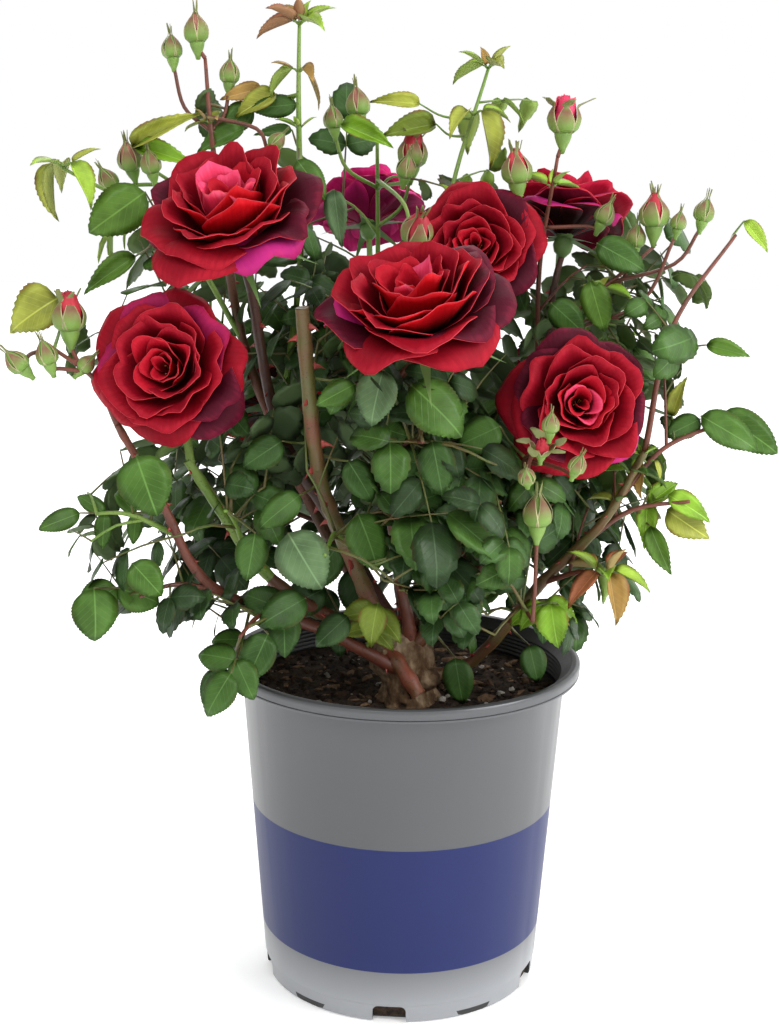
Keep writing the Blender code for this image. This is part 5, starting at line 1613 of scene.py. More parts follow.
def lay_floor(colour):
    """Lays a floor that glows a little, and more away from the pot, so that it stays white."""
    deselect_all()
    bpy.ops.mesh.primitive_plane_add(size=FLOOR_SIZE, location=(0, 0, -FLOOR_DROP))
    floor = bpy.context.object
    floor.name = "floor"
    apply_transform()
    finish = Finish("studio_floor", colour, 0.8)
    finish.set("Base Color", finish.mix(finish.noise(3.0), scaled(colour, 0.985), colour))
    distance = finish.add("ShaderNodeVectorMath", {0: finish.place}, operation="LENGTH").outputs["Value"]
    finish.set("Emission Color", (1.0, 1.0, 1.0, 1.0))
    finish.set("Emission Strength", finish.spread(distance, *GLOW_REACH, *GLOW))
    floor.data.materials.append(finish.material)


def hang_lights(key_power):
    for place, share, size in LIGHTS:
        deselect_all()
        bpy.ops.object.light_add(type="AREA", location=place)
        light = bpy.context.object
        light.data.energy = share * key_power
        light.data.size = size
        aim = (LIGHT_AIM - Vector(place)).to_track_quat("-Z", "Y")
        light.matrix_world = Matrix.Translation(place) @ aim.to_matrix().to_4x4()


def make_sky(front, behind):
    """An even light, stronger from behind than from the front, that the camera sees as plain white."""
    world = bpy.data.worlds.new("studio")
    world.use_nodes = True
    nodes, links = world.node_tree.nodes, world.node_tree.links
    soft = nodes["Background"]
    way = nodes.new("ShaderNodeTexCoord")
    turned = nodes.new("ShaderNodeVectorMath")
    turned.operation = "DOT_PRODUCT"
    turned.inputs[1].default_value = SKY_SIDE
    shade = nodes.new("ShaderNodeMapRange")
    links.new(way.outputs["Generated"], turned.inputs[0])
    links.new(turned.outputs["Value"], shade.inputs["Value"])
    for socket, value in (("From Min", -1.0), ("From Max", 0.6), ("To Min", front), ("To Max", behind)):
        shade.inputs[socket].default_value = value
    links.new(shade.outputs[0], soft.inputs["Strength"])
    white = nodes.new("ShaderNodeBackground")
    for light in (soft, white):
        light.inputs["Color"].default_value = (1.0, 1.0, 1.0, 1.0)
    ray = nodes.new("ShaderNodeLightPath")
    both = nodes.new("ShaderNodeMixShader")
    links.new(ray.outputs["Is Camera Ray"], both.inputs[0])
    links.new(soft.outputs[0], both.inputs[1])
    links.new(white.outputs[0], both.inputs[2])
    links.new(both.outputs[0], nodes["World Output"].inputs["Surface"])
    return world


class ROSE_OT_stage(bpy.types.Operator):
    """Sets the camera, the soft studio lights and the pale floor"""

    bl_idname = "rose.stage"
    bl_label = "Stage"

    def execute(self, context):
        settings = context.scene.rose_stage
        set_camera(settings.lens)
        lay_floor(settings.floor)
        hang_lights(settings.key_power)
        context.scene.world = make_sky(settings.sky_front, settings.sky)
        context.scene.view_settings.view_transform = "Standard"
        deselect_all()
        return {"FINISHED"}


def extrude_rings(name, profile, segments):
    """Models a turned shell by hand: a circle, extruded and resized ring by ring, with both ends filled."""
    deselect_all()
    radius, height = profile[0]
    bpy.ops.mesh.primitive_circle_add(vertices=segments, radius=radius, location=(0, 0, height))
    piece = bpy.context.object
    piece.name = name
    apply_transform()
    bpy.ops.object.mode_set(mode="EDIT")
    bpy.ops.mesh.select_all(action="SELECT")
    bpy.ops.mesh.edge_face_add()
    bpy.ops.mesh.select_mode(type="EDGE")
    bpy.ops.mesh.select_all(action="SELECT")
    for new_radius, new_height in profile[1:]:
        bpy.ops.mesh.extrude_edges_move(TRANSFORM_OT_translate={"value": (0, 0, new_height - height)})
        share = new_radius / radius
        bpy.ops.transform.resize(value=(share, share, 1.0), center_override=(0, 0, new_height))
        radius, height = new_radius, new_height
    bpy.ops.mesh.edge_face_add()
    bpy.ops.mesh.select_all(action="SELECT")
    bpy.ops.mesh.normals_make_consistent(inside=False)
    bpy.ops.object.mode_set(mode="OBJECT")
    return piece


def wall_radius(height):
    return POT_BASE_RADIUS + WALL_SLOPE * height


def cut_foot(pot, azimuth, width, height, depth):
    """Cuts one opening in the pot's foot, with its two upper corners rounded."""
    deselect_all()
    outside = 0.02
    bpy.ops.mesh.primitive_cube_add(size=1.0)
    cutter = bpy.context.object
    cutter.scale = (depth + outside, width, 2 * height)
    cutter.rotation_euler = (0, 0, azimuth)
    middle = POT_BASE_RADIUS - depth + (depth + outside) / 2
    cutter.location = (middle * math.cos(azimuth), middle * math.sin(azimuth), 0)
    apply_transform()
    bpy.ops.object.mode_set(mode="EDIT")
    bm = bmesh.from_edit_mesh(cutter.data)
    outward = Vector((math.cos(azimuth), math.sin(azimuth), 0))
    for edge in bm.edges:
        along = (edge.verts[0].co - edge.verts[1].co).normalized()
        upper = min(vert.co.z for vert in edge.verts) > 0
        edge.select_set(bool(upper and abs(along.dot(outward)) > 0.9))
    bmesh.update_edit_mesh(cutter.data)
    bpy.ops.mesh.bevel(offset=0.34 * height, segments=4, affect="EDGES")
    bpy.ops.object.mode_set(mode="OBJECT")
    subtract(pot, cutter)


def pot_profile(band_low, band_high):
    """The pot's outline in radius and height, up its outside, over its rim and down its inside."""
    rim = POT_RIM_RADIUS
    step = FOOT_STEP_DEPTH
    profile = [
        (wall_radius(0) - step - 0.0010, 0.0),
        (wall_radius(0.0003) - step - 0.0003, 0.0003),
        (wall_radius(0.0012) - step, 0.0012),
        (wall_radius(FOOT_STEP_HEIGHT) - step, FOOT_STEP_HEIGHT),
        (wall_radius(FOOT_STEP_HEIGHT) - 0.0001, FOOT_STEP_HEIGHT + 0.0004),
        (wall_radius(FOOT_STEP_HEIGHT + 0.001), FOOT_STEP_HEIGHT + 0.0010),
        (wall_radius(band_low), band_low),
        (wall_radius(band_high), band_high),
        (wall_radius(WALL_TOP - 0.002), WALL_TOP - 0.002),
        (wall_radius(WALL_TOP) + 0.0008, WALL_TOP - 0.0002),
        (rim - 0.0018, WALL_TOP - 0.0001),
        (rim - 0.0009, WALL_TOP + 0.0002),
        (rim - 0.0005, WALL_TOP + 0.0009),
        (rim - 0.0005, WALL_TOP + 0.0017),
        (rim - 0.0011, WALL_TOP + 0.0020),
        (rim - 0.0005, WALL_TOP + 0.0024),
        (rim - 0.0001, WALL_TOP + 0.0052),
        (rim - 0.0001, POT_HEIGHT - 0.0018),
        (rim - 0.0006, POT_HEIGHT - 0.0007),
        (rim - 0.0016, POT_HEIGHT - 0.0001),
        (rim - 0.0026, POT_HEIGHT),
        (POT_MOUTH_RADIUS + 0.0012, POT_HEIGHT - 0.0001),
        (POT_MOUTH_RADIUS + 0.0003, POT_HEIGHT - 0.0006),
        (POT_MOUTH_RADIUS - 0.0002, POT_HEIGHT - 0.0016),
    ]
    inner_top = POT_HEIGHT - 0.0060
    for ridge in range(RIDGES):
        height = inner_top - RIDGE_SPACING * ridge
        inner = wall_radius(height) - POT_WALL
        profile += [(inner, height), (inner - RIDGE_DEPTH, height - 0.0007),
                    (inner - RIDGE_DEPTH, height - 0.0012), (inner, height - 0.0018)]
    profile.append((wall_radius(POT_FLOOR) - POT_WALL, POT_FLOOR))
    return profile


def skin_of(face, band_low, band_high):
    """Which of the pot's skins a face wears."""
    middle = Vector(face.center)
    inward = middle.xy.dot(face.normal.xy) < 0
    within = middle.xy.length < wall_radius(middle.z) - SKIN_DEPTH and middle.z > 0.0002
    if within or (inward and middle.z > MOUTH_FOOT):
        return INNER_SKIN
    return BAND_SKIN if band_low - 1e-5 < middle.z < band_high + 1e-5 else OUTER_SKIN


class ROSE_OT_pot(bpy.types.Operator):
    """Models the nursery pot: tapering wall, rolled rim, printed band and drain notches"""

    bl_idname = "rose.pot"
    bl_label = "Pot"

    def execute(self, context):
        settings = context.scene.rose_pot
        pot = extrude_rings("nursery_pot", pot_profile(settings.band_low, settings.band_high),
                            settings.segments)
        for index in range(NOTCH_COUNT):
            azimuth = NOTCH_FIRST_AZIMUTH + 2 * math.pi * index / NOTCH_COUNT
            cut_foot(pot, azimuth, NOTCH_WIDTH, NOTCH_HEIGHT, NOTCH_DEPTH)
            half_way = azimuth + math.pi / NOTCH_COUNT
            cut_foot(pot, half_way, FOOT_RELIEF_WIDTH, FOOT_RELIEF_HEIGHT, FOOT_RELIEF_DEPTH)
        # Painted light: 3.4 and 1.15 are how much paler the outer skin and the band are made at the pot's
        # foot.
        dress(pot, plastic_finish("silver_grey_plastic", settings.plastic, 0.35, 0.34, 3.4, 0.10),
              plastic_finish("printed_blue_band", settings.band, 0.05, 0.40, 1.15, 0.0, 0.24),
              inner_plastic_finish())
        for face in pot.data.polygons:
            face.material_index = skin_of(face, settings.band_low, settings.band_high)
        make_active(pot)
        bpy.ops.object.shade_smooth_by_angle(angle=math.radians(28))
        put_on(pot, "pot_plastic", "pot")
        return {"FINISHED"}


def scatter_crumbs(soil, count):
    """Drops lumps, bark chips and grit on the mix, clear of the rootstock."""
    ground = BVHTree.FromPolygons([vert.co for vert in soil.data.vertices],
                                  [tuple(face.vertices) for face in soil.data.polygons])
    bpy.ops.mesh.primitive_ico_sphere_add(subdivisions=1, radius=1.0)
    pattern = bpy.context.object
    points = np.array([tuple(vert.co) for vert in pattern.data.vertices])
    faces = [tuple(face.vertices) for face in pattern.data.polygons]
    bpy.data.objects.remove(pattern)
    chance = random.Random("crumbs")
    numbers = np.random.default_rng(11)
    sheaf = Sheaf()
    for _ in range(count):
        reach = CRUMB_REACH * math.sqrt(chance.random())
        turn = chance.uniform(0, 2 * math.pi)
        x, y = reach * math.cos(turn), reach * math.sin(turn)
        if math.hypot(x - TRUNK_X, y - TRUNK_Y) < CRUMB_TRUNK_GAP:
            continue
        hit = ground.ray_cast(Vector((x, y, POT_HEIGHT + 0.02)), Vector((0, 0, -1)))[0]
        if hit is None:
            continue
        size = CRUMB_LEAST + CRUMB_GROWTH * chance.random() ** 2
        shape = (size, size * chance.uniform(0.6, 1.0), size * chance.uniform(0.4, 0.9))
        tone = chance.choices((0, 1, 2, 3), CRUMB_SHARES)[0]
        if tone == BARK_CHIP:
            shape = (size * 2.3, size * chance.uniform(0.8, 1.2), size * 0.45)
        turned = Matrix.Rotation(chance.uniform(0, 6.3), 3, "Z") @ Matrix.Rotation(
            chance.uniform(-0.5, 0.5), 3, "X")
        lump = points * (1 + 0.28 * numbers.uniform(-1, 1, (len(points), 1))) * np.array(shape)
        place = hit + Vector((0, 0, 0.3 * shape[2]))
        sheaf.add(lump @ np.array(turned).T + np.array(place), faces, tone)
    return sheaf.build("potting_mix_crumbs", [
        soil_finish("dark_crumb", (0.012, 0.008, 0.006), (0.040, 0.026, 0.018)),
        soil_finish("brown_crumb", (0.050, 0.028, 0.016), (0.100, 0.060, 0.035)),
        soil_finish("bark_chip", (0.110, 0.060, 0.032), (0.230, 0.140, 0.080)),
        soil_finish("pale_grit", (0.300, 0.270, 0.230), (0.480, 0.440, 0.390))], smooth=False)


class ROSE_OT_soil(bpy.types.Operator):
    """Fills the pot with a lumpy mix, and scatters bark chips and crumbs on it"""

    bl_idname = "rose.soil"
    bl_label = "Potting mix"

    def execute(self, context):
        settings = context.scene.rose_soil
        gap = POT_WALL + 2 * CLEARANCE
        low = POT_FLOOR + CLEARANCE
        profile = [(wall_radius(low) - gap, low), (wall_radius(SOIL_TOP) - gap, SOIL_TOP - 0.0008)]
        edge = wall_radius(SOIL_TOP) - gap - 0.0006
        profile += [(edge * (1 - index / SOIL_RINGS), SOIL_TOP) for index in range(SOIL_RINGS)]
        soil = extrude_rings("potting_mix_top", profile, SOIL_SEGMENTS)
        top = soil.vertex_groups.new(name="top")
        for vert in soil.data.vertices:
            if vert.co.z > SOIL_TOP - 0.0001:
                top.add([vert.index], min(1.0, (edge - vert.co.xy.length) / LUMPS_FADE), "REPLACE")
        for grain, strength in ((0.018, 1.0), (0.0045, 0.8)):
            relief = add_relief(soil, "CLOUDS", grain, settings.roughness * strength)
            relief.texture.noise_depth = 3
            relief.direction = "Z"
            relief.mid_level = 0.55
            relief.vertex_group = "top"
        apply_modifiers(soil)
        dress(soil, soil_finish("damp_potting_mix", (0.014, 0.009, 0.006), (0.060, 0.038, 0.024)))
        make_active(soil)
        bpy.ops.object.shade_smooth()
        put_on(soil, "potting_mix", "potting_mix")

        crumbs = scatter_crumbs(soil, settings.crumbs)
        put_on(crumbs, "potting_mix")
        return {"FINISHED"}


def trunk_point(rise, angle):
    """A point on the knobbly rootstock's skin, by the solid's rule."""
    radius = TRUNK_RADIUS * (1 + 0.16 * math.sin(math.pi * (1.5 * rise - 0.35)))
    radius += (TRUNK_FLARE - TRUNK_RADIUS) * max(0.0, 1 - 3.2 * rise) ** 1.5
    radius *= 1 - 0.28 * max(0.0, (rise - 0.80) / 0.20) ** 1.5
    knob = 1 + 0.09 * math.sin(3 * angle + 4 * rise) + 0.05 * math.sin(5 * angle - 7 * rise)
    centre = Vector((TRUNK_X, TRUNK_Y, SOIL_TOP + CLEARANCE + TRUNK_HEIGHT * rise)) + TRUNK_LEAN * rise
    return centre + Vector((math.cos(angle), math.sin(angle), 0)) * (radius * knob)


def rough_trunk():
    """A turned trunk by the solid's rule, joined with the knobs that stand out of it."""
    deselect_all()
    bpy.ops.mesh.primitive_cylinder_add(vertices=48, radius=1.0, depth=1.0, location=(0, 0, 0.5),
                                        end_fill_type="NGON")
    trunk = bpy.context.object
    trunk.name = "rootstock"
    apply_transform()
    bpy.ops.object.mode_set(mode="EDIT")
    bm = bmesh.from_edit_mesh(trunk.data)
    for edge in bm.edges:
        edge.select_set(abs(edge.verts[0].co.z - edge.verts[1].co.z) > 0.5)
    bmesh.update_edit_mesh(trunk.data)
    bpy.ops.mesh.subdivide(number_cuts=26)
    bpy.ops.object.mode_set(mode="OBJECT")
    for vert in trunk.data.vertices:
        angle = math.atan2(vert.co.y, vert.co.x)
        vert.co = trunk_point(vert.co.z, angle)
    parts = [trunk]
    for *place, size in KNOBS:
        deselect_all()
        bpy.ops.mesh.primitive_ico_sphere_add(subdivisions=3, radius=size, location=place)
        knob = bpy.context.object
        apply_transform()
        parts.append(knob)
    deselect_all()
    for part in parts:
        part.select_set(True)
    bpy.context.view_layer.objects.active = trunk
    bpy.ops.object.join()
    return trunk


def cut_stub():
    """The stub of a cane that was cut off, with its cut end bare."""
    sheaf = Sheaf()
    path = through(STUB, 6)
    radii = [0.0050 + 0.0006 * math.sin(5 * index) for index in range(len(path))]
    points, faces, uvs = tube(path, radii, 14)
    sheaf.add(points, faces[:-1], 0, uvs)
    sheaf.add(points, faces[-1:], 1, uvs)
    stub = sheaf.build("cut_stub", [cane_finish("stub_skin", (0.15, 0.07, 0.03), (0.26, 0.05, 0.03)),
                                    plain_skin("fresh_cut_wood", (0.34, 0.070, 0.035), 0.6)])
    make_active(stub)
    bpy.ops.object.shade_smooth_by_angle(angle=math.radians(40))
    return stub


class ROSE_OT_rootstock(bpy.types.Operator):
    """Models the gnarled rootstock: knobs, a hollow and the stub of a cut cane, with corky bark"""

    bl_idname = "rose.rootstock"
    bl_label = "Rootstock"

    def execute(self, context):
        trunk = rough_trunk()
        remesh = trunk.modifiers.new("fuse", "REMESH")
        remesh.mode = "VOXEL"
        remesh.voxel_size = FUSED_GRAIN
        apply_modifiers(trunk)
        deselect_all()
        bpy.ops.mesh.primitive_ico_sphere_add(subdivisions=3, radius=HOLLOW_RADIUS, scale=HOLLOW_SHAPE,
                                              location=HOLLOW_PLACE)
        hollow = context.object
        apply_transform()
        subtract(trunk, hollow)
        for kind, grain, strength in BARK_RELIEFS:
            add_relief(trunk, kind, grain, strength)
        apply_modifiers(trunk)
        for vert in trunk.data.vertices:
            vert.co.z = max(vert.co.z, SOIL_TOP - 0.001)
        dress(trunk, bark_finish())
        make_active(trunk)
        bpy.ops.object.shade_smooth()
        put_on(trunk, "bark", "trunk")
        put_on(cut_stub(), "bark")
        return {"FINISHED"}


def cane_limbs():
    """Each cane's path, radii and skins. What grows on a cane is seated by the same path as the solid's."""
    limbs = {}
    for name, (foot_radius, tip_radius, places, skin, change) in CANES.items():
        limbs[name] = (through(places, SOLID_STEPS), through(places, CANE_STEPS),
                       (foot_radius, tip_radius, skin, change))
    name, foot_radius, tip_radius, parent, share, places, skin = TALL_SHOOT
    places = [point_along(limbs[parent][0], share)[0], *places]
    limbs[name] = (through(places, SOLID_STEPS), through(places, CANE_STEPS),
                   (foot_radius, tip_radius, skin, None))
    return limbs


def thorn(sheaf, place, way, along, length, tone):
    """A hooked prickle: a broad oval foot that narrows to a point bent towards the cane's foot."""
    side = way.cross(along).normalized()
    rings = []
    sides = 6
    for rise, size, hook in THORN_RINGS:
        centre = place + way * (length * rise) - along * (length * hook)
        for index in range(sides):
            angle = 2 * math.pi * index / sides
            rings.append(tuple(centre + along * (math.cos(angle) * 0.46 * length * size)
                               + side * (math.sin(angle) * 0.20 * length * size)))
    faces = []
    for ring in range(3):
        for index in range(sides):
            after = (index + 1) % sides
            faces.append((ring * sides + index, (ring + 1) * sides + index, (ring + 1) * sides + after,
                          ring * sides + after))
    faces.append(tuple(range(sides)))
    faces.append(tuple(3 * sides + index for index in range(sides))[::-1])
    sheaf.add(rings, faces, tone)


def bare_cane(name, path, radii, chance):
    """Models one cane from a curve, swollen at its joints and with its skin's relief."""
    deselect_all()
    bpy.ops.curve.primitive_bezier_curve_add()
    curve = bpy.context.object
    curve.data.splines.clear()
    spline = curve.data.splines.new("POLY")
    spline.points.add(len(path) - 1)
    length = length_of(path)
    joints = [chance.uniform(0.02, 0.06) + step * JOINT_SPACING / length
              for step in range(int(length / JOINT_SPACING) + 1)]
    for index, place in enumerate(path):
        share = index / (len(path) - 1)
        swell = sum(math.exp(-((share - joint) * length / JOINT_SPREAD) ** 2) for joint in joints)
        spline.points[index].co = (*place, 1.0)
        radius = radii[0] + (radii[1] - radii[0]) * share
        spline.points[index].radius = radius * (1 + JOINT_SWELL * swell)
    curve.data.dimensions = "3D"
    curve.data.bevel_depth = 1.0
    curve.data.bevel_resolution = 4
    curve.data.use_fill_caps = True
    bpy.ops.object.convert(target="MESH")
    cane = bpy.context.object
    cane.name = name
    finer = cane.modifiers.new("finer", "SUBSURF")
    finer.subdivision_type = "SIMPLE"
    finer.levels = finer.render_levels = 1
    add_relief(cane, "CLOUDS", SKIN_GRAIN, SKIN_RELIEF)
    apply_modifiers(cane)
    return cane


def set_thorns(thorns, path, radii, settings, growth, chance):
    """Sets hooked thorns round a cane, smaller where it is thinner."""
    count = int(length_of(path) / settings.thorn_spacing)
    for index in range(count):
        share = (index + chance.uniform(0.2, 0.8)) / count
        place, along = point_along(path, share)
        turn = index * GOLDEN_ANGLE + chance.uniform(-0.5, 0.5)
        way = around(along, turn)
        radius = radii[0] + (radii[1] - radii[0]) * share
        size = settings.thorn_length * (0.55 + 0.45 * radius / THICK_CANE) * chance.uniform(0.65, 1.1)
        size *= growth
        thorn(thorns, place + way * (THORN_SEAT * radius), way, along, size, 0)


class ROSE_OT_canes(bpy.types.Operator):
    """Models each cane from a curve, with swollen joints, skin relief and thorns"""

    bl_idname = "rose.canes"
    bl_label = "Canes"

    def execute(self, context):
        settings = context.scene.rose_canes
        finishes = {name: cane_finish("cane_" + name, *colours) for name, colours in CANE_COLOURS.items()}
        thorns = Sheaf()
        for name, (_, path, (foot_radius, tip_radius, skin, change)) in cane_limbs().items():
            chance = random.Random(name)
            cane = bare_cane(name + "_skin", path, (foot_radius, tip_radius), chance)
            dress(cane, finishes[skin], finishes["green"])
            if change is not None:
                start, along = point_along(path, change)
                for face in cane.data.polygons:
                    face.material_index = int((Vector(face.center) - start).dot(along) > 0)
            make_active(cane)
            bpy.ops.object.shade_smooth_by_angle(angle=math.radians(50))
            put_on(cane, "cane_skin", name)
            if name != TALL_SHOOT[0]:
                growth = THORN_GROWTH.get(name, 1.0)
                set_thorns(thorns, path, (foot_radius, tip_radius), settings, growth, chance)
        prickles = thorns.build("thorns", [plain_skin("thorn_red", tuple(settings.thorn_colour), 0.40)])
        put_on(prickles, "cane_skin")
        return {"FINISHED"}


class ROSE_OT_foliage(bpy.types.Operator):
    """Grows the stems, twigs and compound leaves of every mass"""

    bl_idname = "rose.foliage"
    bl_label = "Foliage"

    def execute(self, context):
        settings = context.scene.rose_leaves
        foliage = Foliage(settings, cane_limbs())
        chance = random.Random("standing leaves")
        for leaf in STANDING_LEAVES.values():
            foliage.standing_leaf(*leaf, chance)
        for tuft in TUFTS.values():
            foliage.tuft(*tuft, chance)
        for name in MASSES:
            foliage.grow(name)
        if foliage.leaflets < LEAST_LEAFLETS:
            raise RuntimeError(f"only {foliage.leaflets} leaflets grew")
        for piece, sheaf in foliage.leaves.items():
            materials = []
            for tone in LEAF_PIECES[piece]:
                upper, lower = LEAF_COLOURS[tone]
                red = settings.margin_red if piece == "young" else GROWN_MARGIN_RED
                materials += [leaf_finish("leaf_" + tone, upper, red),
                              leaf_back_finish("leaf_back_" + tone, lower)]
            put_on(sheaf.build("leaves_" + piece, materials), "leaves", *MASSES)
        stems = foliage.stems.build("stems", [cane_finish("stem_" + kind, *CANE_COLOURS[kind])
                                              for kind in foliage.stem_kinds])
        put_on(stems, "leaves", *MASSES)
        return {"FINISHED"}


class ROSE_OT_buds(bpy.types.Operator):
    """Sets the flower buds, each on its own stalk"""

    bl_idname = "rose.buds"
    bl_label = "Buds"

    def execute(self, context):
        foliage = Foliage(context.scene.rose_leaves, cane_limbs())
        buds, stalks = Sheaf(), Sheaf()
        for name, (*_, stem, mass_buds) in MASSES.items():
            chance = random.Random("bud " + name)
            for spot, (place, kind) in enumerate(mass_buds):
                place = Vector(place)
                start, _ = point_along(foliage.paths[name], chance.uniform(0.50, 0.85) if spot else 1.0)
                reach = (place - start).length
                bend = start.lerp(place, BUD_BEND)
                bend.z = start.z + BUD_BEND_RISE * (place.z - start.z) - BUD_BEND_SAG * reach
                way = BUD_LEAN * (place - bend).normalized() + Vector((0, 0, 1.0))
                way.normalize()
                end = place - way * (0.5 * BUD_LENGTH * BUD_SIZES[kind])
                line = through([start, bend, end], 5)
                points, faces, uvs = tube(line, tapered(*BUD_STALK, len(line)), 7)
                stalks.add(points, faces, BUD_STALK_KINDS.index(stem), uvs)
                add_bud(buds, place, way, kind, chance)
        made = buds.build("buds", [
            plain_skin("bud_hip", (0.17, 0.29, 0.055), 0.42), sepal_finish(),
            plain_skin("sepal_edge", (0.36, 0.34, 0.17), 0.55),
            plain_skin("bud_red", (0.42, 0.020, 0.035), 0.5),
            plain_skin("bud_pink", (0.66, 0.040, 0.110), 0.5),
            plain_skin("bud_bronze", (0.34, 0.13, 0.09), 0.5)])
        thick = made.modifiers.new("thickness", "SOLIDIFY")
        thick.thickness = BUD_PETAL_THICKNESS
        thick.offset = 0.0
        apply_modifiers(made)
        put_on(made, "petals")
        lines = stalks.build("bud_stalks", [cane_finish("bud_stalk_" + kind, *CANE_COLOURS[kind])
                                            for kind in BUD_STALK_KINDS])
        put_on(lines, "leaves")
        return {"FINISHED"}


def petal_materials(settings):
    """The petals' materials: each tone's face, then each tone's back, then their edges."""
    crimson, maroon = tuple(settings.crimson), tuple(settings.maroon)
    magenta, pink, plum = tuple(settings.magenta), tuple(settings.pink), tuple(settings.plum)
    # black is painted shade: the near-black foot of a petal's face, deep in the bloom.
    black = (0.012, 0.0004, 0.0010)
    # Each tone's foot, body and rim on the petal's face, and then on its back.
    # The dark feet are painted shade deep in the bloom, and the lighter rims a painted highlight.
    looks = {"crimson": ((black, crimson, (0.56, 0.010, 0.018)),
                         ((0.12, 0.002, 0.006), (0.26, 0.004, 0.014), (0.34, 0.008, 0.020))),
             "maroon": ((black, maroon, (0.19, 0.004, 0.012)),
                        ((0.02, 0.001, 0.004), (0.070, 0.004, 0.014), (0.13, 0.006, 0.022))),
             "magenta": ((black, magenta, (0.50, 0.010, 0.045)),
                         ((0.18, 0.006, 0.040), (0.28, 0.010, 0.066), (0.36, 0.012, 0.070))),
             "pink": (((0.26, 0.006, 0.02), pink, (0.86, 0.10, 0.18)),
                      ((0.32, 0.010, 0.04), (0.74, 0.045, 0.120), (0.80, 0.08, 0.18))),
             "heart": (((0.24, 0.003, 0.008), crimson, (0.60, 0.014, 0.024)),
                       ((0.30, 0.004, 0.014), (0.40, 0.006, 0.018), (0.46, 0.010, 0.024))),
             "plum": ((black, plum, (0.24, 0.008, 0.036)),
                      ((0.32, 0.014, 0.110), (0.42, 0.018, 0.165), (0.46, 0.022, 0.150))),
             "rose": (((0.20, 0.004, 0.050), (0.66, 0.018, 0.190), (0.70, 0.035, 0.230)),
                      ((0.60, 0.025, 0.210), (0.76, 0.045, 0.300), (0.80, 0.060, 0.300)))}
    materials = [petal_finish("petal_" + tone, *looks[tone][0], 0.0) for tone in PETAL_TONES]
    materials += [petal_finish("petal_back_" + tone, *looks[tone][1], 0.05) for tone in PETAL_TONES]
    edge = plain_skin("petal_edge", (0.52, 0.018, 0.032), 0.6, 0.15)
    return materials + [edge] * len(PETAL_TONES)


def add_calyx(sheaf, seat, radius, chance):
    """Adds a bloom's hip and the sepals that hang from it."""
    points, faces = turned_body([(out * radius, up * radius) for out, up in BLOOM_HIP], 12)
    sheaf.add(moved(points, seat), faces, 0)
    for index in range(SEPALS):
        points, faces, uvs = sepal(0.62 * radius, 0.26 * radius, 1.3)
        points = points * np.array((1.0, 1.0, -0.15)) + np.array((0.10 * radius, 0, -0.37 * radius))
        points = points - np.array((0, 0, 0.30)) * (points[:, :1] ** 2) / radius
        faces = [face[::-1] for face in faces]
        turn = seat @ Matrix.Rotation(index * SEPAL_TURN + chance.uniform(-0.2, 0.2), 4, "Z")
        sheaf.add(moved(points, turn), faces, 0, uvs)


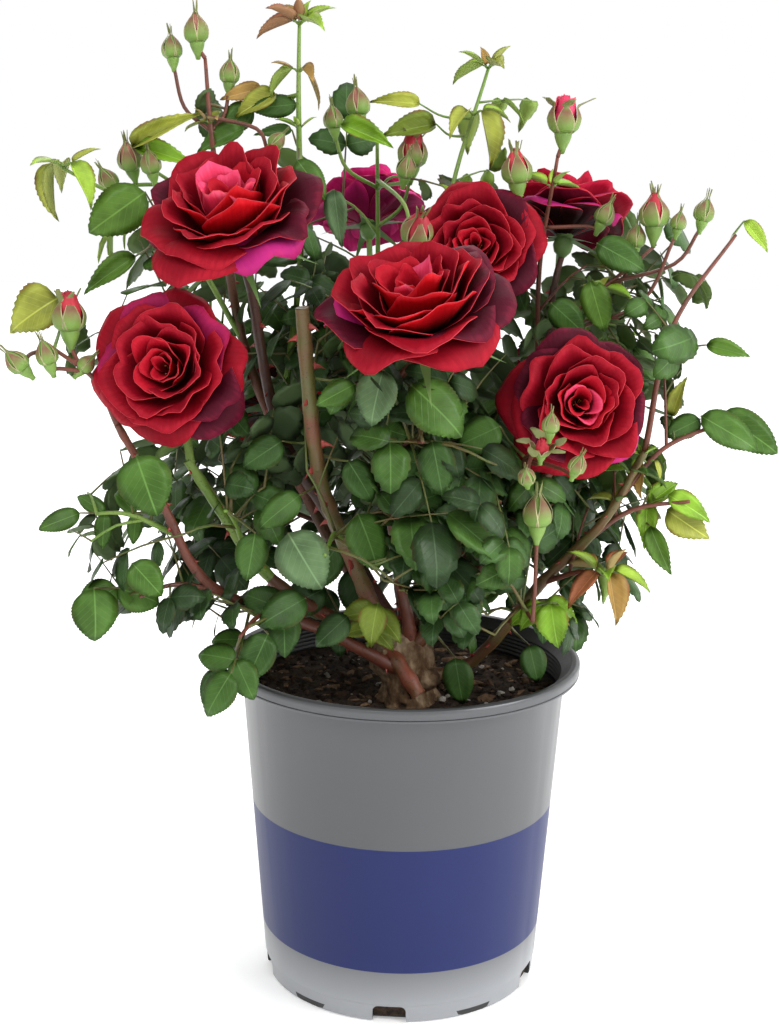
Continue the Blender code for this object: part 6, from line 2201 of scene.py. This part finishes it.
class ROSE_OT_blooms(bpy.types.Operator):
    """Builds each open bloom from its petals, on its hip and sepals, at the end of its stem"""

    bl_idname = "rose.blooms"
    bl_label = "Blooms"

    def execute(self, context):
        settings = context.scene.rose_blooms
        materials = petal_materials(settings)
        green = plain_skin("calyx_green", (0.14, 0.25, 0.07), 0.5)
        stem_skins = [cane_finish("bloom_stem_" + kind, *colours) for kind, colours in CANE_COLOURS.items()]
        limbs = cane_limbs()
        stems, anthers = Sheaf(), Sheaf()
        for name, (cane, centre, direction, radius, spin, pinks, cup, guards) in BLOOMS.items():
            seat = facing(direction, centre)
            down = seat.to_3x3().inverted() @ Vector((0, 0, -1))
            lowest = math.atan2(down.y, down.x)
            sheaf = bloom_petals(name, radius, spin, pinks, cup, guards, settings.petals, lowest)
            sheaf.points = [moved(points, seat) for points in sheaf.points]
            head = sheaf.build(name + "_petals", materials)
            thick = head.modifiers.new("thickness", "SOLIDIFY")
            thick.thickness = settings.thickness
            thick.offset = -1.0
            thick.material_offset = len(PETAL_TONES)
            thick.material_offset_rim = 2 * len(PETAL_TONES)
            apply_modifiers(head)
            put_on(head, "petals", name)

            chance = random.Random("stem " + name)
            for points, faces, uvs in stamens(radius, chance):
                anthers.add(moved(points, seat), faces, 0, uvs)
            way = Vector(direction).normalized()
            add_calyx(stems, seat, radius, chance)
            path_of_cane, _, (_, tip_radius, skin, _) = limbs[cane]
            tip, along = point_along(path_of_cane, 1.0)
            end = Vector(centre) - way * (0.66 * radius)
            reach = (end - tip).length
            bend = tip.lerp(end, 0.5) + (along - way) * (0.12 * reach)
            line = through([tip - along * 0.004, bend, end], 6)
            points, faces, uvs = tube(line, tapered(tip_radius * 0.96, BLOOM_STEM_RADIUS, len(line)), 10)
            stems.add(points, faces, 1 + list(CANE_COLOURS).index(skin if skin != "brown" else "green"), uvs)
        calyxes = stems.build("bloom_stems", [green, *stem_skins])
        put_on(calyxes, "leaves")
        put_on(anthers.build("stamens", [plain_skin("stamen_yellow", (0.72, 0.46, 0.06), 0.6)]), "petals")
        return {"FINISHED"}


STEPS = (("stage", "Stage"), ("pot", "Pot"), ("soil", "Potting mix"), ("rootstock", "Rootstock"),
         ("canes", "Canes"), ("foliage", "Foliage"), ("buds", "Buds"), ("blooms", "Blooms"))
SETTINGS = (("rose_stage", RoseStageSettings), ("rose_pot", RosePotSettings), ("rose_soil", RoseSoilSettings),
            ("rose_canes", RoseCaneSettings), ("rose_leaves", RoseLeafSettings),
            ("rose_blooms", RoseBloomSettings))


class ROSE_PT_panel(bpy.types.Panel):
    """Lists the bush's pieces and their settings"""

    bl_idname = "ROSE_PT_panel"
    bl_label = "Rose Bush"
    bl_space_type = "VIEW_3D"
    bl_region_type = "UI"
    bl_category = "Rose Bush"

    def draw(self, context):
        for step, label in STEPS:
            self.layout.operator("rose." + step, text=label)
        for attribute, group in SETTINGS:
            box = self.layout.box()
            for name in group.__annotations__:
                box.prop(getattr(context.scene, attribute), name)


OPERATORS = (ROSE_OT_stage, ROSE_OT_pot, ROSE_OT_soil, ROSE_OT_rootstock, ROSE_OT_canes, ROSE_OT_foliage,
             ROSE_OT_buds, ROSE_OT_blooms, ROSE_PT_panel)


def register():
    for _, group in SETTINGS:
        bpy.utils.register_class(group)
    for made in OPERATORS:
        bpy.utils.register_class(made)
    for attribute, group in SETTINGS:
        setattr(bpy.types.Scene, attribute, PointerProperty(type=group))


def unregister():
    for attribute, _ in SETTINGS:
        delattr(bpy.types.Scene, attribute)
    for made in reversed(OPERATORS):
        bpy.utils.unregister_class(made)
    for _, group in reversed(SETTINGS):
        bpy.utils.unregister_class(group)


def main():
    register()
    for step, _ in STEPS:
        getattr(bpy.ops.rose, step)()


if __name__ == "__main__":
    main()
